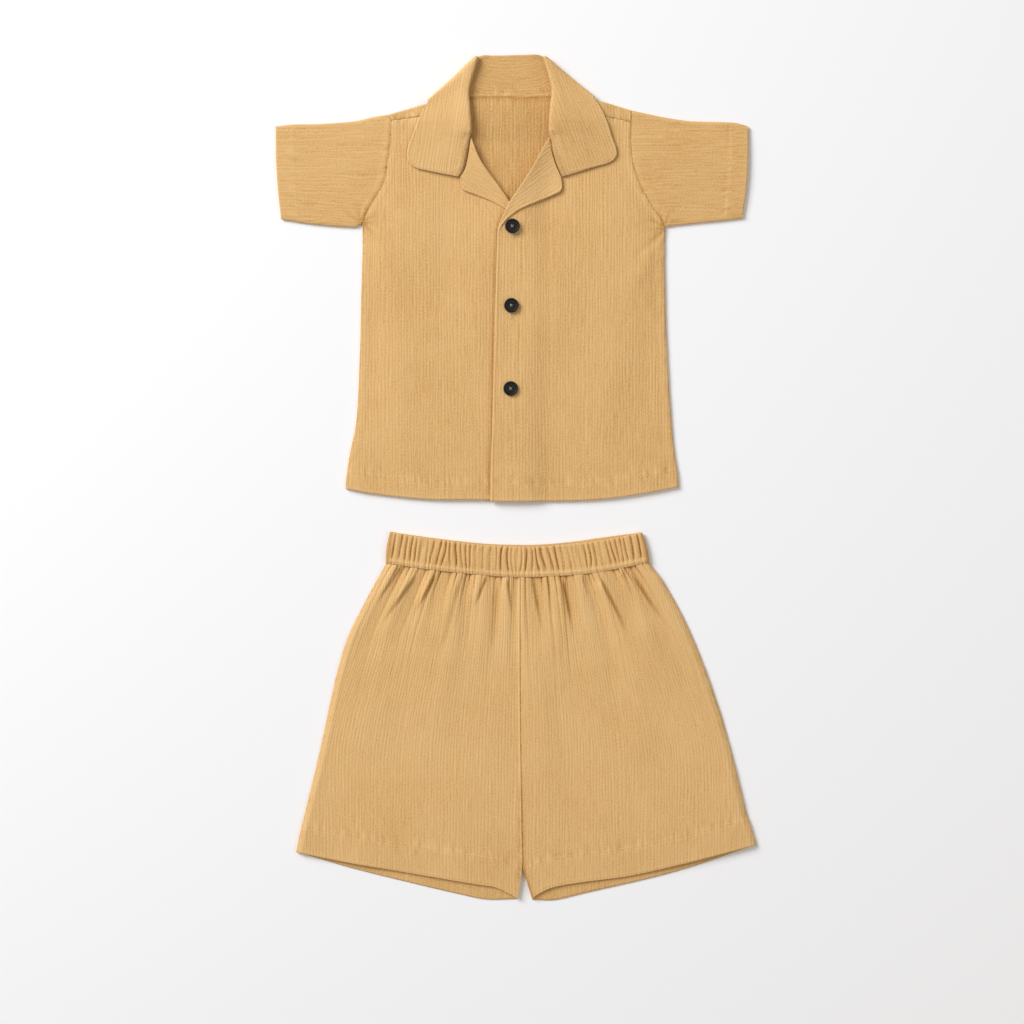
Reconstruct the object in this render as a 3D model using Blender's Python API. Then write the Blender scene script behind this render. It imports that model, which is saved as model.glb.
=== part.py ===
"""Child's crinkled-gauze pyjama set, laid flat: a short-sleeved shirt above its shorts.

The set lies on the XY plane with its necks towards +Y and its underside at Z = 0.
All sizes are in millimetres, measured across the laid-out set from its middle,
and become metres when a mesh is made. Left and right are the wearer's: the
wearer's right is at -X.
"""

import bpy
import numpy as np

MM = 0.001

# Cloth and seams
CLOTH = 1.0               # wall of one layer of crinkled gauze
GAP = 0.3                 # space between two pieces that are sewn or lie together
LAYER = CLOTH + GAP       # step from the middle of one layer to the next
HALF_SEAM = GAP / 2
HEM_TURN = 0.5            # how much a turned hem stands above single cloth

# Heights of the laid-out layers
FALL_LIFT = 1.7           # the back rises over the collar's fall by this much
EASE = 0.4                # slack between the back and the fronts
FULLNESS = 1.3            # extra height of the fronts away from the seams
LEAF_EASE = 0.4           # slack between the fronts and the collar's leaf
ROLL = 1.8                # radius of the collar's roll
STAND_TUCK = 2.0          # how far the stand lies inside the leaf in the shoulder folds
LAPEL_ROLL = 1.3          # extra height of a lapel along its roll line

# Hems
SHIRT_HEM = 15.0
SLEEVE_HEM = 15.5
SHORTS_HEM = 24.0
STITCH_STEP = 0.9         # width of the step from turned hem to single cloth

# Buttons
BUTTON_RADIUS = 6.2
BUTTON_HEIGHT = 2.4
BUTTON_RIM = 1.2          # width of the raised rim
BUTTON_DISH = 0.6         # depth of the dished middle
BUTTON_HOLE = 0.75        # radius of each thread hole
BUTTON_HOLE_PITCH = 2.5
BUTTON_SIDES = 28
BUTTON_PLACES = {
    "button_top": (-2.8, 213.3),
    "button_middle": (-3.6, 146.0),
    "button_bottom": (-4.2, 75.4),
}

# Waistband
BAND_WALL = 2.0           # folded casing with the elastic inside
BAND_PLEATS = 46          # pleats across the front of the casing
PLEAT_HEIGHT = 1.0
BAND_BEND = 2.6           # how far the bend at each end reaches in
BAND_BULGE = 1.2          # how far each end swells out between its stitching and its top
BAND_SLACK = 0.5          # space inside the flattened ring

# Shorts
LEG_GATHERS = 18          # gathers under the waistband on each leg's front
GATHER_HEIGHT = 0.9
SHORTS_FULLNESS = 1.2     # extra height of the fronts over the legs
SIDE_EASE = 0.05          # slack between front and back at the side seams
FRONT_ROWS = [0.25, 0.45, 0.62, 0.76, 0.86, 0.93, 0.97, 1.0]
BACK_ROWS = [0.25, 0.45, 0.62, 0.76, 0.86, 0.93, 1.0]
BACK_COLUMNS = 13

# Sleeves
SLEEVE_FULLNESS = 0.9     # extra height of a sleeve's upper layer at its cuff
SLEEVE_BEND = 0.9         # how far the bend along each edge reaches in

# Shirt outlines, from the hem up: columns x, y
SIDE_RIGHT = [(-144.5, -9.7), (-144.3, -2.0), (-140.8, 21.6), (-135.3, 50.5), (-132.5, 108.3),
              (-131.5, 150.8), (-130.4, 190.0), (-130.2, 217.0)]
SIDE_LEFT = [(138.5, -8.2), (137.3, 6.3), (134.6, 23.3), (132.0, 53.0), (128.6, 108.3),
             (126.9, 159.3), (126.5, 190.0), (127.0, 213.2)]
ARMHOLE_RIGHT = [(-130.2, 217.0), (-123.4, 231.5), (-112.4, 250.2), (-108.7, 269.4),
                 (-106.0, 290.2), (-105.6, 303.8)]
ARMHOLE_LEFT = [(127.0, 213.2), (123.3, 221.3), (112.6, 236.6), (103.5, 254.9),
                (98.9, 274.9), (98.0, 302.6)]
HEM_RIGHT = [(-144.5, -9.7), (-120.1, -14.0), (-77.2, -18.5), (-36.1, -19.0), (10.5, -19.4)]
HEM_LEFT = [(138.5, -8.2), (104.4, -14.4), (75.1, -18.3), (45.8, -19.9), (2.8, -20.4), (-21.5, -20.4)]
EDGE_RIGHT = [(10.5, -19.4), (10.9, 59.8), (10.4, 138.0), (10.2, 187.3), (8.8, 209.4), (2.8, 222.2)]
EDGE_LEFT = [(-21.5, -20.4), (-21.3, 1.2), (-19.5, 59.8), (-17.6, 138.0), (-16.1, 187.3),
             (-15.0, 209.4), (-10.8, 222.2)]
ROLL_RIGHT = [(2.8, 222.2), (-4.8, 234.2), (-15.0, 248.8), (-29.7, 269.3), (-37.7, 288.5)]
ROLL_LEFT = [(-10.8, 222.2), (-4.3, 235.2), (5.4, 249.4), (15.5, 265.5), (21.5, 276.7), (28.4, 288.5)]
NECK_RIGHT = [(-37.7, 288.5), (-44.6, 298.5), (-52.0, 310.2)]
NECK_LEFT = [(28.4, 288.5), (35.0, 298.5), (43.0, 309.8)]
SHOULDER_SEAM_RIGHT = [(-105.6, 303.8), (-81.0, 307.0), (-52.0, 310.2)]
SHOULDER_SEAM_LEFT = [(98.0, 302.6), (77.0, 306.8), (43.0, 309.8)]

# Shoulder fold of the back: columns fold x, fold y, seam x, seam y
SHOULDER_RIGHT = [(-107.8, 308.9, -105.6, 303.8), (-92.0, 313.4, -92.5, 305.6),
                  (-76.0, 317.6, -77.0, 307.5), (-64.0, 320.0, -62.5, 309.1),
                  (-58.5, 321.0, -54.0, 310.0), (-55.0, 321.8, -53.5, 316.5)]
SHOULDER_LEFT = [(98.3, 312.4, 98.0, 302.6), (84.0, 316.2, 84.0, 305.6),
                 (68.0, 319.6, 68.0, 307.9), (55.5, 322.2, 54.0, 309.0),
                 (49.5, 323.2, 45.0, 309.8), (46.0, 323.8, 44.5, 317.0)]
BACK_NECK = [(-50.0, 322.9), (-38.0, 322.8), (-4.8, 322.4), (28.0, 322.8), (41.0, 323.4)]

# Sleeve outlines from the armhole out: columns x, y
SLEEVE_TOP_RIGHT = [(-107.8, 308.9), (-123.0, 306.3), (-138.0, 303.0), (-166.3, 300.8),
                    (-189.3, 300.4), (-204.2, 298.7)]
SLEEVE_LOW_RIGHT = [(-130.2, 217.0), (-134.0, 214.2), (-139.5, 213.0), (-170.6, 215.4), (-199.5, 219.6)]
CUFF_RIGHT = [(-199.5, 219.6), (-202.2, 244.3), (-203.8, 269.8), (-204.2, 298.7)]
SLEEVE_TOP_LEFT = [(98.3, 312.4), (117.2, 308.4), (130.8, 305.7), (150.6, 303.1),
                   (183.9, 302.1), (197.8, 299.0)]
SLEEVE_LOW_LEFT = [(127.0, 213.2), (138.5, 214.8), (160.9, 217.1), (179.4, 218.9), (192.8, 220.6)]
CUFF_LEFT = [(192.8, 220.6), (195.2, 238.0), (196.9, 254.9), (197.8, 276.0), (197.8, 299.0)]

# Collar sections from the front edge to the shoulder, on top of the fronts.
# Columns: neck edge, roll and outer edge as x, y each; how far the neck edge
# has gone down from the leaf to the fronts, and how far the roll turns over.
COLLAR_RIGHT = [
    # neck         roll          outer         down  turn
    (-47.6, 255.5, -51.0, 256.0, -84.0, 262.5, 0.0, 0.0),
    (-44.7, 260.0, -48.0, 260.5, -89.0, 266.0, 0.0, 0.0),
    (-42.8, 265.5, -46.0, 266.0, -92.0, 271.5, 0.0, 0.0),
    (-40.8, 275.0, -44.0, 275.5, -92.0, 279.0, 0.0, 0.0),
    (-39.0, 284.5, -42.0, 285.0, -89.5, 286.0, 0.0, 0.0),
    (-38.2, 288.9, -40.4, 289.1, -88.2, 289.2, 0.0, 0.05),
    (-37.3, 291.3, -39.2, 291.5, -87.4, 291.6, 0.45, 0.4),
    (-38.2, 293.6, -38.5, 293.8, -86.7, 293.6, 0.85, 0.9),
    (-41.4, 296.8, -38.0, 297.0, -85.6, 296.4, 1.0, 1.0),
    (-45.0, 300.5, -38.2, 302.5, -84.3, 299.8, 1.0, 1.0),
    (-50.4, 308.8, -39.2, 316.0, -81.5, 306.5, 1.0, 1.0),
    (-52.8, 315.5, -39.6, 330.5, -78.5, 312.4, 1.0, 1.0),
]
COLLAR_LEFT = [
    (39.1, 255.5, 42.5, 256.5, 75.0, 266.0, 0.0, 0.0),
    (37.2, 260.0, 40.5, 260.8, 82.0, 269.0, 0.0, 0.0),
    (34.8, 265.5, 38.0, 266.2, 86.0, 274.0, 0.0, 0.0),
    (31.8, 275.0, 35.0, 275.5, 85.5, 280.5, 0.0, 0.0),
    (29.7, 284.5, 32.7, 285.0, 83.2, 286.5, 0.0, 0.0),
    (28.9, 288.9, 31.1, 289.1, 82.2, 289.2, 0.0, 0.05),
    (28.0, 291.3, 29.9, 291.5, 81.4, 291.6, 0.45, 0.4),
    (28.9, 293.6, 29.2, 293.8, 80.8, 293.7, 0.85, 0.9),
    (32.1, 296.8, 28.7, 297.0, 79.8, 296.8, 1.0, 1.0),
    (35.6, 300.5, 28.7, 302.5, 78.6, 300.3, 1.0, 1.0),
    (41.4, 308.8, 29.8, 316.0, 75.8, 307.0, 1.0, 1.0),
    (43.8, 315.5, 30.8, 330.5, 72.5, 313.8, 1.0, 1.0),
]
# The fold at each shoulder, where the collar passes from the front to the back
COLLAR_SHOULDER_RIGHT = (-54.2, 324.3, -33.6, 358.3, -75.8, 320.4)
COLLAR_SHOULDER_LEFT = (45.8, 325.6, 25.0, 358.5, 69.2, 323.0)
# Sections across the back, with the leaf underneath: neck edge, roll, outer edge
COLLAR_BACK = [
    (-44.0, 323.4, -27.0, 358.6, -59.0, 312.0),
    (-32.0, 323.2, -20.0, 358.6, -36.0, 308.6),
    (-18.0, 323.0, -12.0, 358.7, -20.0, 308.0),
    (-4.5, 322.9, -4.5, 359.0, -4.5, 308.0),
    (9.0, 323.0, 4.5, 359.2, 11.0, 308.0),
    (22.5, 323.2, 12.5, 359.4, 27.0, 308.8),
    (35.0, 323.7, 19.0, 359.2, 50.5, 313.0),
]

# Lapels: the gorge seam and the free edge as x, y
GORGE_RIGHT = [(-38.1, 287.0), (-40.0, 275.0), (-42.0, 265.5), (-44.0, 260.0), (-47.0, 255.3)]
LAPEL_EDGE_RIGHT = [(-9.2, 228.4), (-21.0, 234.9), (-34.0, 240.2), (-43.6, 243.9), (-46.6, 247.5),
                    (-47.0, 255.3)]
GORGE_LEFT = [(28.7, 287.0), (31.0, 275.0), (34.0, 265.5), (36.5, 260.0), (38.5, 255.3)]
LAPEL_EDGE_LEFT = [(-8.4, 223.1), (2.0, 227.2), (17.0, 235.4), (30.0, 240.6), (37.5, 243.8),
                   (39.4, 247.0), (38.5, 255.3)]

# Shorts outlines, from the hem up: columns x, y
OUTER_RIGHT = [(-187.0, -318.7), (-181.4, -293.8), (-167.7, -237.7), (-157.3, -189.2), (-149.6, -157.4),
               (-141.2, -132.3), (-128.4, -106.8), (-117.0, -85.5), (-109.9, -73.6)]
OUTER_LEFT = [(204.9, -312.5), (199.2, -293.8), (195.3, -281.5), (185.6, -241.9), (176.2, -207.1),
              (170.3, -189.2), (159.2, -157.8), (147.6, -129.7), (136.0, -106.5), (124.4, -87.2),
              (113.2, -72.8)]
FRONT_HEM_RIGHT = [(-187.0, -318.7), (-147.2, -326.9), (-94.1, -335.4), (-33.4, -345.3), (-18.2, -347.6),
                   (-4.5, -353.6), (1.3, -357.0)]
FRONT_HEM_LEFT = [(204.9, -312.5), (161.2, -324.0), (118.7, -333.9), (92.9, -339.1), (55.0, -343.7),
                  (32.2, -347.6), (20.1, -352.8), (14.0, -357.0)]
BACK_HEM_RIGHT = [(-187.0, -318.7), (-139.7, -332.3), (-94.1, -343.7), (-48.5, -354.4), (-25.0, -359.0),
                  (1.3, -358.6)]
BACK_HEM_LEFT = [(204.9, -312.5), (158.2, -328.6), (118.7, -339.9), (62.6, -352.8), (34.0, -359.4),
                 (14.0, -359.4)]
INSEAM_RIGHT = [(1.3, -358.0), (3.9, -342.0), (5.5, -328.6), (4.9, -300.0), (4.5, -274.2)]
INSEAM_LEFT = [(14.0, -358.0), (9.0, -342.0), (6.0, -328.6), (5.2, -300.0), (4.5, -274.2)]
RISE = [(4.5, -274.2), (3.5, -206.2), (3.2, -146.7), (3.4, -85.0)]
BAND_LOW = [(-110.2, -73.2), (-73.7, -78.5), (-31.2, -82.9), (3.4, -85.0), (50.4, -83.0), (84.4, -78.3),
            (113.3, -72.3)]
BAND_TOP_FRONT = [(-106.6, -46.3), (-73.7, -51.7), (-31.2, -57.0), (3.7, -58.8), (20.7, -58.6),
                  (63.2, -54.7), (84.4, -51.3), (107.4, -46.9)]
BAND_TOP_BACK = [(-106.6, -46.3), (-73.7, -51.1), (-31.2, -56.0), (-4.8, -57.3), (20.7, -57.2),
                 (50.4, -54.6), (71.7, -51.5), (107.4, -46.9)]

# Soft folds in the fronts: columns start x, y, end x, y, width, height
SHORTS_FOLDS = [
    (74.2, -88.0, 96.0, -133.0, 5.0, 1.5),
    (40.8, -88.0, 50.0, -134.0, 4.5, 1.3),
    (-85.6, -86.0, -112.0, -124.0, 5.5, 1.3),
    (-48.0, -90.0, -62.0, -150.0, 6.0, 0.9),
    (100.0, -84.0, 132.0, -130.0, 5.0, 1.1),
    (-15.0, -92.0, -20.0, -160.0, 6.0, 0.8),
]
SHIRT_FOLDS = [
    (-127.0, 208.0, -92.0, 160.0, 9.0, 0.8),
    (124.0, 205.0, 92.0, 150.0, 9.0, 0.8),
    (-100.0, 40.0, -92.0, 150.0, 12.0, 0.5),
    (70.0, 10.0, 84.0, 140.0, 14.0, 0.5),
]


def ramp(value, start, end):
    """Smooth step from 0 at start to 1 at end."""
    t = np.clip((value - start) / (end - start), 0.0, 1.0)
    return t * t * (3.0 - 2.0 * t)


def through(rows, steps):
    """Catmull-Rom values through the rows, read at row numbers that may be fractions."""
    rows = np.asarray(rows, dtype=float)
    padded = np.concatenate([2 * rows[:1] - rows[1:2], rows, 2 * rows[-1:] - rows[-2:-1]])
    first = np.minimum(np.asarray(steps).astype(int), len(rows) - 2)
    t = (steps - first).reshape((-1,) + (1,) * (rows.ndim - 1))
    a, b, c, d = (padded[first + k] for k in range(4))
    bend = (c - a) * t + (2 * a - 5 * b + 4 * c - d) * t**2 + (3 * b - a - 3 * c + d) * t**3
    return b + 0.5 * bend


def run(points):
    """Length along a row of points, from 0 to 1."""
    steps = np.linalg.norm(np.diff(points, axis=0), axis=1)
    length = np.concatenate([[0.0], np.cumsum(steps)])
    return length / length[-1]


def curve(points, fractions):
    """Smooth curve through the points, read at fractions of its length."""
    fine = through(points, np.linspace(0, len(points) - 1, 24 * (len(points) - 1) + 1))
    share = run(fine)
    return np.column_stack([np.interp(fractions, share, fine[:, k]) for k in range(fine.shape[1])])


def length_of(points):
    """Length of the smooth curve through the points."""
    fine = curve(points, np.linspace(0, 1, 60))
    return np.linalg.norm(np.diff(fine, axis=0), axis=1).sum()


def joined(*curves):
    """Curves that meet end to end, as one row of points."""
    return np.vstack([curves[0]] + [piece[1:] for piece in curves[1:]])


def inset(points, distance):
    """Row of points moved to its left-hand side."""
    along = np.gradient(points, axis=0)
    along /= np.linalg.norm(along, axis=1)[:, None]
    return points + distance * np.column_stack([-along[:, 1], along[:, 0]])


def patch(low, high, near, far):
    """Grid of points between four edges: near and far run from low to high, which run across."""
    across = (run(low) + run(high))[None, :, None] / 2
    along = (run(near) + run(far))[:, None, None] / 2
    sides = (1 - across) * near[:, None] + across * far[:, None]
    ends = (1 - along) * low[None] + along * high[None]
    low_ends = (1 - across) * low[0] + across * low[-1]
    high_ends = (1 - across) * high[0] + across * high[-1]
    return sides + ends - (1 - along) * low_ends - along * high_ends


def fold_height(x, y, folds):
    """Height of soft ridges, each fading out at both ends of its line."""
    height = np.zeros_like(x)
    for start_x, start_y, end_x, end_y, width, rise in folds:
        run_x, run_y = end_x - start_x, end_y - start_y
        size = np.hypot(run_x, run_y)
        share = ((x - start_x) * run_x + (y - start_y) * run_y) / size**2
        away = ((x - start_x) * run_y - (y - start_y) * run_x) / size
        fade = ramp(share, -0.15, 0.15) * (1 - ramp(share, 0.5, 1.1))
        height += rise * fade * np.exp(-(away / width) ** 2)
    return height


def back_level(x, y):
    """Middle of the shirt's back: on the floor, raised where the collar's fall lies under it."""
    over_fall = ramp(x, -94, -80) * (1 - ramp(x, 72, 86)) * ramp(y, 284, 303)
    return CLOTH / 2 + FALL_LIFT * over_fall


def front_level(x, y):
    """Middle of the shirt's fronts: one layer above the back and fuller away from the seams."""
    full = ramp(x, -134, -84) * (1 - ramp(x, 80, 130)) * ramp(y, -22, 40) * (1 - ramp(y, 200, 262))
    return back_level(x, y) + LAYER + EASE + FULLNESS * full + fold_height(x, y, SHIRT_FOLDS)


def left_front_level(x, y):
    """Middle of the left front, which laps over the right front and over its lapel."""
    lap = 1 - ramp(x, 12, 30)
    over_lapel = ramp(y, 204, 218) * (1 - ramp(x, 3, 24))
    over_hem = HEM_TURN * lap * (1 - ramp(y, 0, 14))
    return front_level(x, y) + (LAYER + 0.15) * (lap + over_lapel) + over_hem


def leaf_level(x, y):
    """Middle of the collar's leaf where it lies on the fronts."""
    return front_level(x, y) + LAYER + LEAF_EASE


def material(name, colour, roughness):
    """Principled material with the piece's own colour."""
    made = bpy.data.materials.new(name)
    made.use_nodes = True
    shader = made.node_tree.nodes["Principled BSDF"]
    shader.inputs["Base Color"].default_value = (*colour, 1.0)
    shader.inputs["Roughness"].default_value = roughness
    shader.inputs["Metallic"].default_value = 0.0
    return made


def gauze(name):
    """Matt golden-tan cotton gauze."""
    return material(name + "_gauze", (0.70, 0.44, 0.19), 0.92)


def horn(name):
    """Near-black button material."""
    return material(name + "_black", (0.012, 0.012, 0.013), 0.35)


def add_mesh(name, points, faces, surface):
    """Object made from points in millimetres, smooth with sharp edges."""
    mesh = bpy.data.meshes.new(name)
    mesh.from_pydata((np.asarray(points) * MM).tolist(), [], faces)
    mesh.validate()
    mesh.shade_smooth()
    mesh.set_sharp_from_angle(angle=np.radians(50))
    mesh.materials.append(surface)
    made = bpy.data.objects.new(name, mesh)
    bpy.context.scene.collection.objects.link(made)
    return made


def strip(first, second):
    """Four-sided faces between two equally long rows of point numbers."""
    return np.stack([first[:-1], first[1:], second[1:], second[:-1]], axis=-1).reshape(-1, 4)


def add_wall(name, outer, inner, ring=False):
    """Closed wall between two grids of points.

    The first grid's columns, then its rows, turn anticlockwise seen from the
    side away from the second grid. A ring joins its last column to its first
    and is open at both ends.
    """
    rows, columns = outer.shape[:2]
    top = np.arange(rows * columns).reshape(rows, columns)
    if ring:
        top = np.concatenate([top, top[:, :1]], axis=1)
    under = top + rows * columns
    faces = [strip(top[j], top[j + 1]) for j in range(rows - 1)]
    faces += [strip(under[j + 1], under[j]) for j in range(rows - 1)]
    faces += [strip(under[0], top[0]), strip(top[-1], under[-1])]
    if not ring:
        faces += [strip(top[:, 0], under[:, 0]), strip(under[:, -1], top[:, -1])]
    points = np.concatenate([outer.reshape(-1, 3), inner.reshape(-1, 3)])
    return add_mesh(name, points, np.concatenate(faces).tolist(), gauze(name))


def directions(grid, axis, ring=False):
    """Unit directions through the points of a grid, the mean of those before and after each."""
    steps = np.roll(grid, -1, axis=axis) - grid if ring else np.diff(grid, axis=axis)
    steps /= np.maximum(np.linalg.norm(steps, axis=2), 1e-9)[:, :, None]
    if ring:
        return steps + np.roll(steps, 1, axis=axis)
    first = steps[:1] if axis == 0 else steps[:, :1]
    last = steps[-1:] if axis == 0 else steps[:, -1:]
    return np.concatenate([first, steps], axis=axis) + np.concatenate([steps, last], axis=axis)


def around(grid, ring=False):
    """Unit normals of a grid of points."""
    normal = np.cross(directions(grid, 1, ring), directions(grid, 0))
    return normal / np.linalg.norm(normal, axis=2)[:, :, None]


def add_flat(name, plan, level, extra=0.0):
    """Wall of a laid panel, its two faces straight above each other."""
    outer = np.dstack([plan, level + CLOTH / 2 + extra])
    inner = np.dstack([plan, level - CLOTH / 2])
    return add_wall(name, outer, inner)


def hem_rows(edge, depth, count):
    """Fractions along an edge: the turned hem, the step at its stitching, then even rows."""
    length = length_of(edge)
    start = [0.0, (depth - STITCH_STEP) / length, depth / length]
    return np.concatenate([start, np.linspace(depth / length, 1, count + 1)[1:]])


def turned(rows, depth_row=2):
    """1 on the rows of a turned hem and 0 above it, as a column."""
    return (np.arange(rows) < depth_row).astype(float)[:, None]


def side_and_armhole(side, armhole, rows):
    """Outer edge of a body panel, from the hem to the shoulder seam."""
    return joined(curve(side, rows), curve(armhole, np.linspace(0, 1, 8)))


def add_front(name, side, armhole, hem, edge, roll, neck, seam, level, sign):
    """One front, from its side seam to its edge and from its hem to the shoulder seam."""
    outer = inset(side_and_armhole(side, armhole, hem_rows(side, SHIRT_HEM, 6)), -sign * HALF_SEAM)
    inner = joined(curve(edge, hem_rows(edge, SHIRT_HEM, 6)),
                   curve(roll, np.linspace(0, 1, 6)), curve(neck, np.linspace(0, 1, 3)))
    share = np.linspace(0, 1, 12)
    low = curve(hem, share)
    high = curve(seam, share) - (0.0, HALF_SEAM)
    outer[0], inner[0] = low[0], low[-1]
    outer[-1], inner[-1] = high[0], high[-1]
    plan = patch(low, high, outer, inner)
    height = level(plan[:, :, 0], plan[:, :, 1])
    seamed = len(hem_rows(side, SHIRT_HEM, 6))
    height[:seamed, 0] = back_level(outer[:seamed, 0], outer[:seamed, 1]) + LAYER
    if sign < 0:
        plan, height = plan[:, ::-1], height[:, ::-1]
    add_flat(name, plan, height, HEM_TURN * turned(len(plan)))


def add_shirt_fronts():
    add_front("shirt_front_right", SIDE_RIGHT, ARMHOLE_RIGHT, HEM_RIGHT, EDGE_RIGHT, ROLL_RIGHT,
              NECK_RIGHT, SHOULDER_SEAM_RIGHT, front_level, 1)
    add_front("shirt_front_left", SIDE_LEFT, ARMHOLE_LEFT, HEM_LEFT, EDGE_LEFT, ROLL_LEFT,
              NECK_LEFT, SHOULDER_SEAM_LEFT, left_front_level, -1)


def shoulder_column(fold_x, fold_y, seam_x, seam_y):
    """The end of a back column: from the start of the shoulder fold round to the forward seam."""
    low_height = back_level(fold_x, fold_y)
    high_height = front_level(seam_x, seam_y)
    radius = (high_height - low_height) / 2
    reach = radius + CLOTH / 2
    middle = (low_height + high_height) / 2
    return np.array([
        (fold_x, fold_y - reach, low_height),
        (fold_x, fold_y - reach + 0.75 * radius, low_height + 0.35 * radius),
        (fold_x, fold_y - CLOTH / 2, middle),
        (fold_x, fold_y - reach + 0.75 * radius, high_height - 0.35 * radius),
        (fold_x, fold_y - reach, high_height),
        (seam_x, seam_y + HALF_SEAM, high_height),
    ])


def add_shirt_back():
    """The back, from the hem over the shoulders to the forward seams, flat underneath."""
    right = np.array([shoulder_column(*row) for row in SHOULDER_RIGHT])
    left = np.array([shoulder_column(*row) for row in SHOULDER_LEFT[::-1]])
    neck = curve(BACK_NECK, np.linspace(0, 1, 9))
    high = np.vstack([right[:, 0, :2], neck, left[:, 0, :2]])
    right_rows, left_rows = (hem_rows(side, SHIRT_HEM, 6) for side in (SIDE_RIGHT, SIDE_LEFT))
    near = inset(side_and_armhole(SIDE_RIGHT, ARMHOLE_RIGHT, right_rows), -HALF_SEAM)
    far = inset(side_and_armhole(SIDE_LEFT, ARMHOLE_LEFT, left_rows), HALF_SEAM)
    low = curve(HEM_RIGHT[:-1] + HEM_LEFT[::-1][1:], run(high))
    near[0], far[0] = low[0], low[-1]
    near[-1], far[-1] = high[0], high[-1]
    plan = patch(low, high, near, far)
    rows, columns = plan.shape[:2]
    flat = np.dstack([plan, back_level(plan[:, :, 0], plan[:, :, 1])])
    number = np.arange(rows * columns).reshape(rows, columns)
    faces = [strip(number[j], number[j + 1]) for j in range(rows - 1)]
    points = [flat.reshape(-1, 3)]
    count = rows * columns
    for fold, first in ((right, 0), (left, columns - len(left))):
        steps = fold.shape[1] - 1
        added = count + np.arange(steps * len(fold)).reshape(steps, len(fold))
        lines = np.vstack([number[-1:, first:first + len(fold)], added])
        faces += [strip(lines[j], lines[j + 1]) for j in range(steps)]
        points.append(fold[:, 1:].transpose(1, 0, 2).reshape(-1, 3))
        count += added.size
    faces = np.concatenate(faces).tolist()
    back = add_mesh("shirt_back", np.concatenate(points), faces, gauze("shirt_back"))
    shell = back.modifiers.new("cloth", "SOLIDIFY")
    shell.thickness = CLOTH * MM
    shell.offset = 0.0


def add_sleeve(name, top, low, cuff, armhole, sign):
    """A sleeve as a flattened tube, from the armhole to its turned cuff."""
    share = 1 - hem_rows(top, SLEEVE_HEM, 6)[::-1]
    near = curve(armhole, np.linspace(0, 1, 8))
    near = inset(near, sign * HALF_SEAM)
    outline_low = curve(low, share)
    outline_top = curve(top, share)
    far = curve(cuff, np.linspace(0, 1, 8))
    near[0] = outline_low[0] - (sign * 2 * GAP, 0)
    near[-1] = outline_top[0] - (sign * GAP, 0)
    outline_low[0], outline_top[0] = near[0], near[-1]
    plan = patch(near, far, outline_low, outline_top)
    step = CLOTH / 2 + SLEEVE_BEND
    across = plan[:, -1] - plan[:, 0]
    across /= np.linalg.norm(across, axis=1)[:, None]
    low_in = plan[:, :1] + step * across[:, None]
    top_in = plan[:, -1:] - step * across[:, None]
    layer = np.concatenate([low_in, plan[:, 1:-1], top_in], axis=1)
    full = np.sin(np.linspace(0, np.pi, layer.shape[1]))[None, :] * np.linspace(0.2, 1, len(share))[:, None]
    over = np.dstack([layer, CLOTH / 2 + LAYER + EASE + SLEEVE_FULLNESS * full])
    under = np.dstack([layer, np.full(layer.shape[:2], CLOTH / 2)])
    middle_height = CLOTH / 2 + (LAYER + EASE) / 2
    low_bend = plan[:, :1] + CLOTH / 2 * across[:, None]
    top_bend = plan[:, -1:] - CLOTH / 2 * across[:, None]
    bends = [np.dstack([edge, np.full(edge.shape[:2], middle_height)]) for edge in (low_bend, top_bend)]
    middle = np.concatenate([bends[0], over, bends[1], under[:, ::-1]], axis=1)
    extra = HEM_TURN * turned(len(share))[::-1] * np.ones((1, middle.shape[1]))
    extra[:, layer.shape[1] + 1:] = 0.0
    extra[:, 0] = 0.0
    if sign < 0:
        middle, extra = middle[::-1], extra[::-1]
    inward = around(middle, ring=True)
    outside = middle - inward * (CLOTH / 2 + extra)[..., None]
    inside = middle + inward * CLOTH / 2
    add_wall(name, inside, outside, ring=True)


def add_sleeves():
    add_sleeve("sleeve_right", SLEEVE_TOP_RIGHT, SLEEVE_LOW_RIGHT, CUFF_RIGHT, ARMHOLE_RIGHT, 1)
    add_sleeve("sleeve_left", SLEEVE_TOP_LEFT, SLEEVE_LOW_LEFT, CUFF_LEFT, ARMHOLE_LEFT, -1)


def collar_rows():
    """Every collar section in turn: neck, roll and outer points, then down, turn and side.

    Side is 0 on the fronts, 1 across the back, and passes between them in
    the fold at each shoulder, whose sections share one line; outward is the
    way that fold faces.
    """
    turns = np.linspace(0.0, 1.0, 5)
    rows = []
    for front, shoulder in ((COLLAR_RIGHT, COLLAR_SHOULDER_RIGHT), (COLLAR_LEFT, COLLAR_SHOULDER_LEFT)):
        side = [(*row, 0.0) for row in front]
        side += [(*shoulder, 1.0, 1.0, turn) for turn in turns]
        rows.append(side)
    back = [(*row, 1.0, 1.0, 1.0) for row in COLLAR_BACK]
    return np.array(rows[0] + back + rows[1][::-1])


def mix(first, second, share):
    """Value between the first and the second."""
    return first + (second - first) * share


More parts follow.
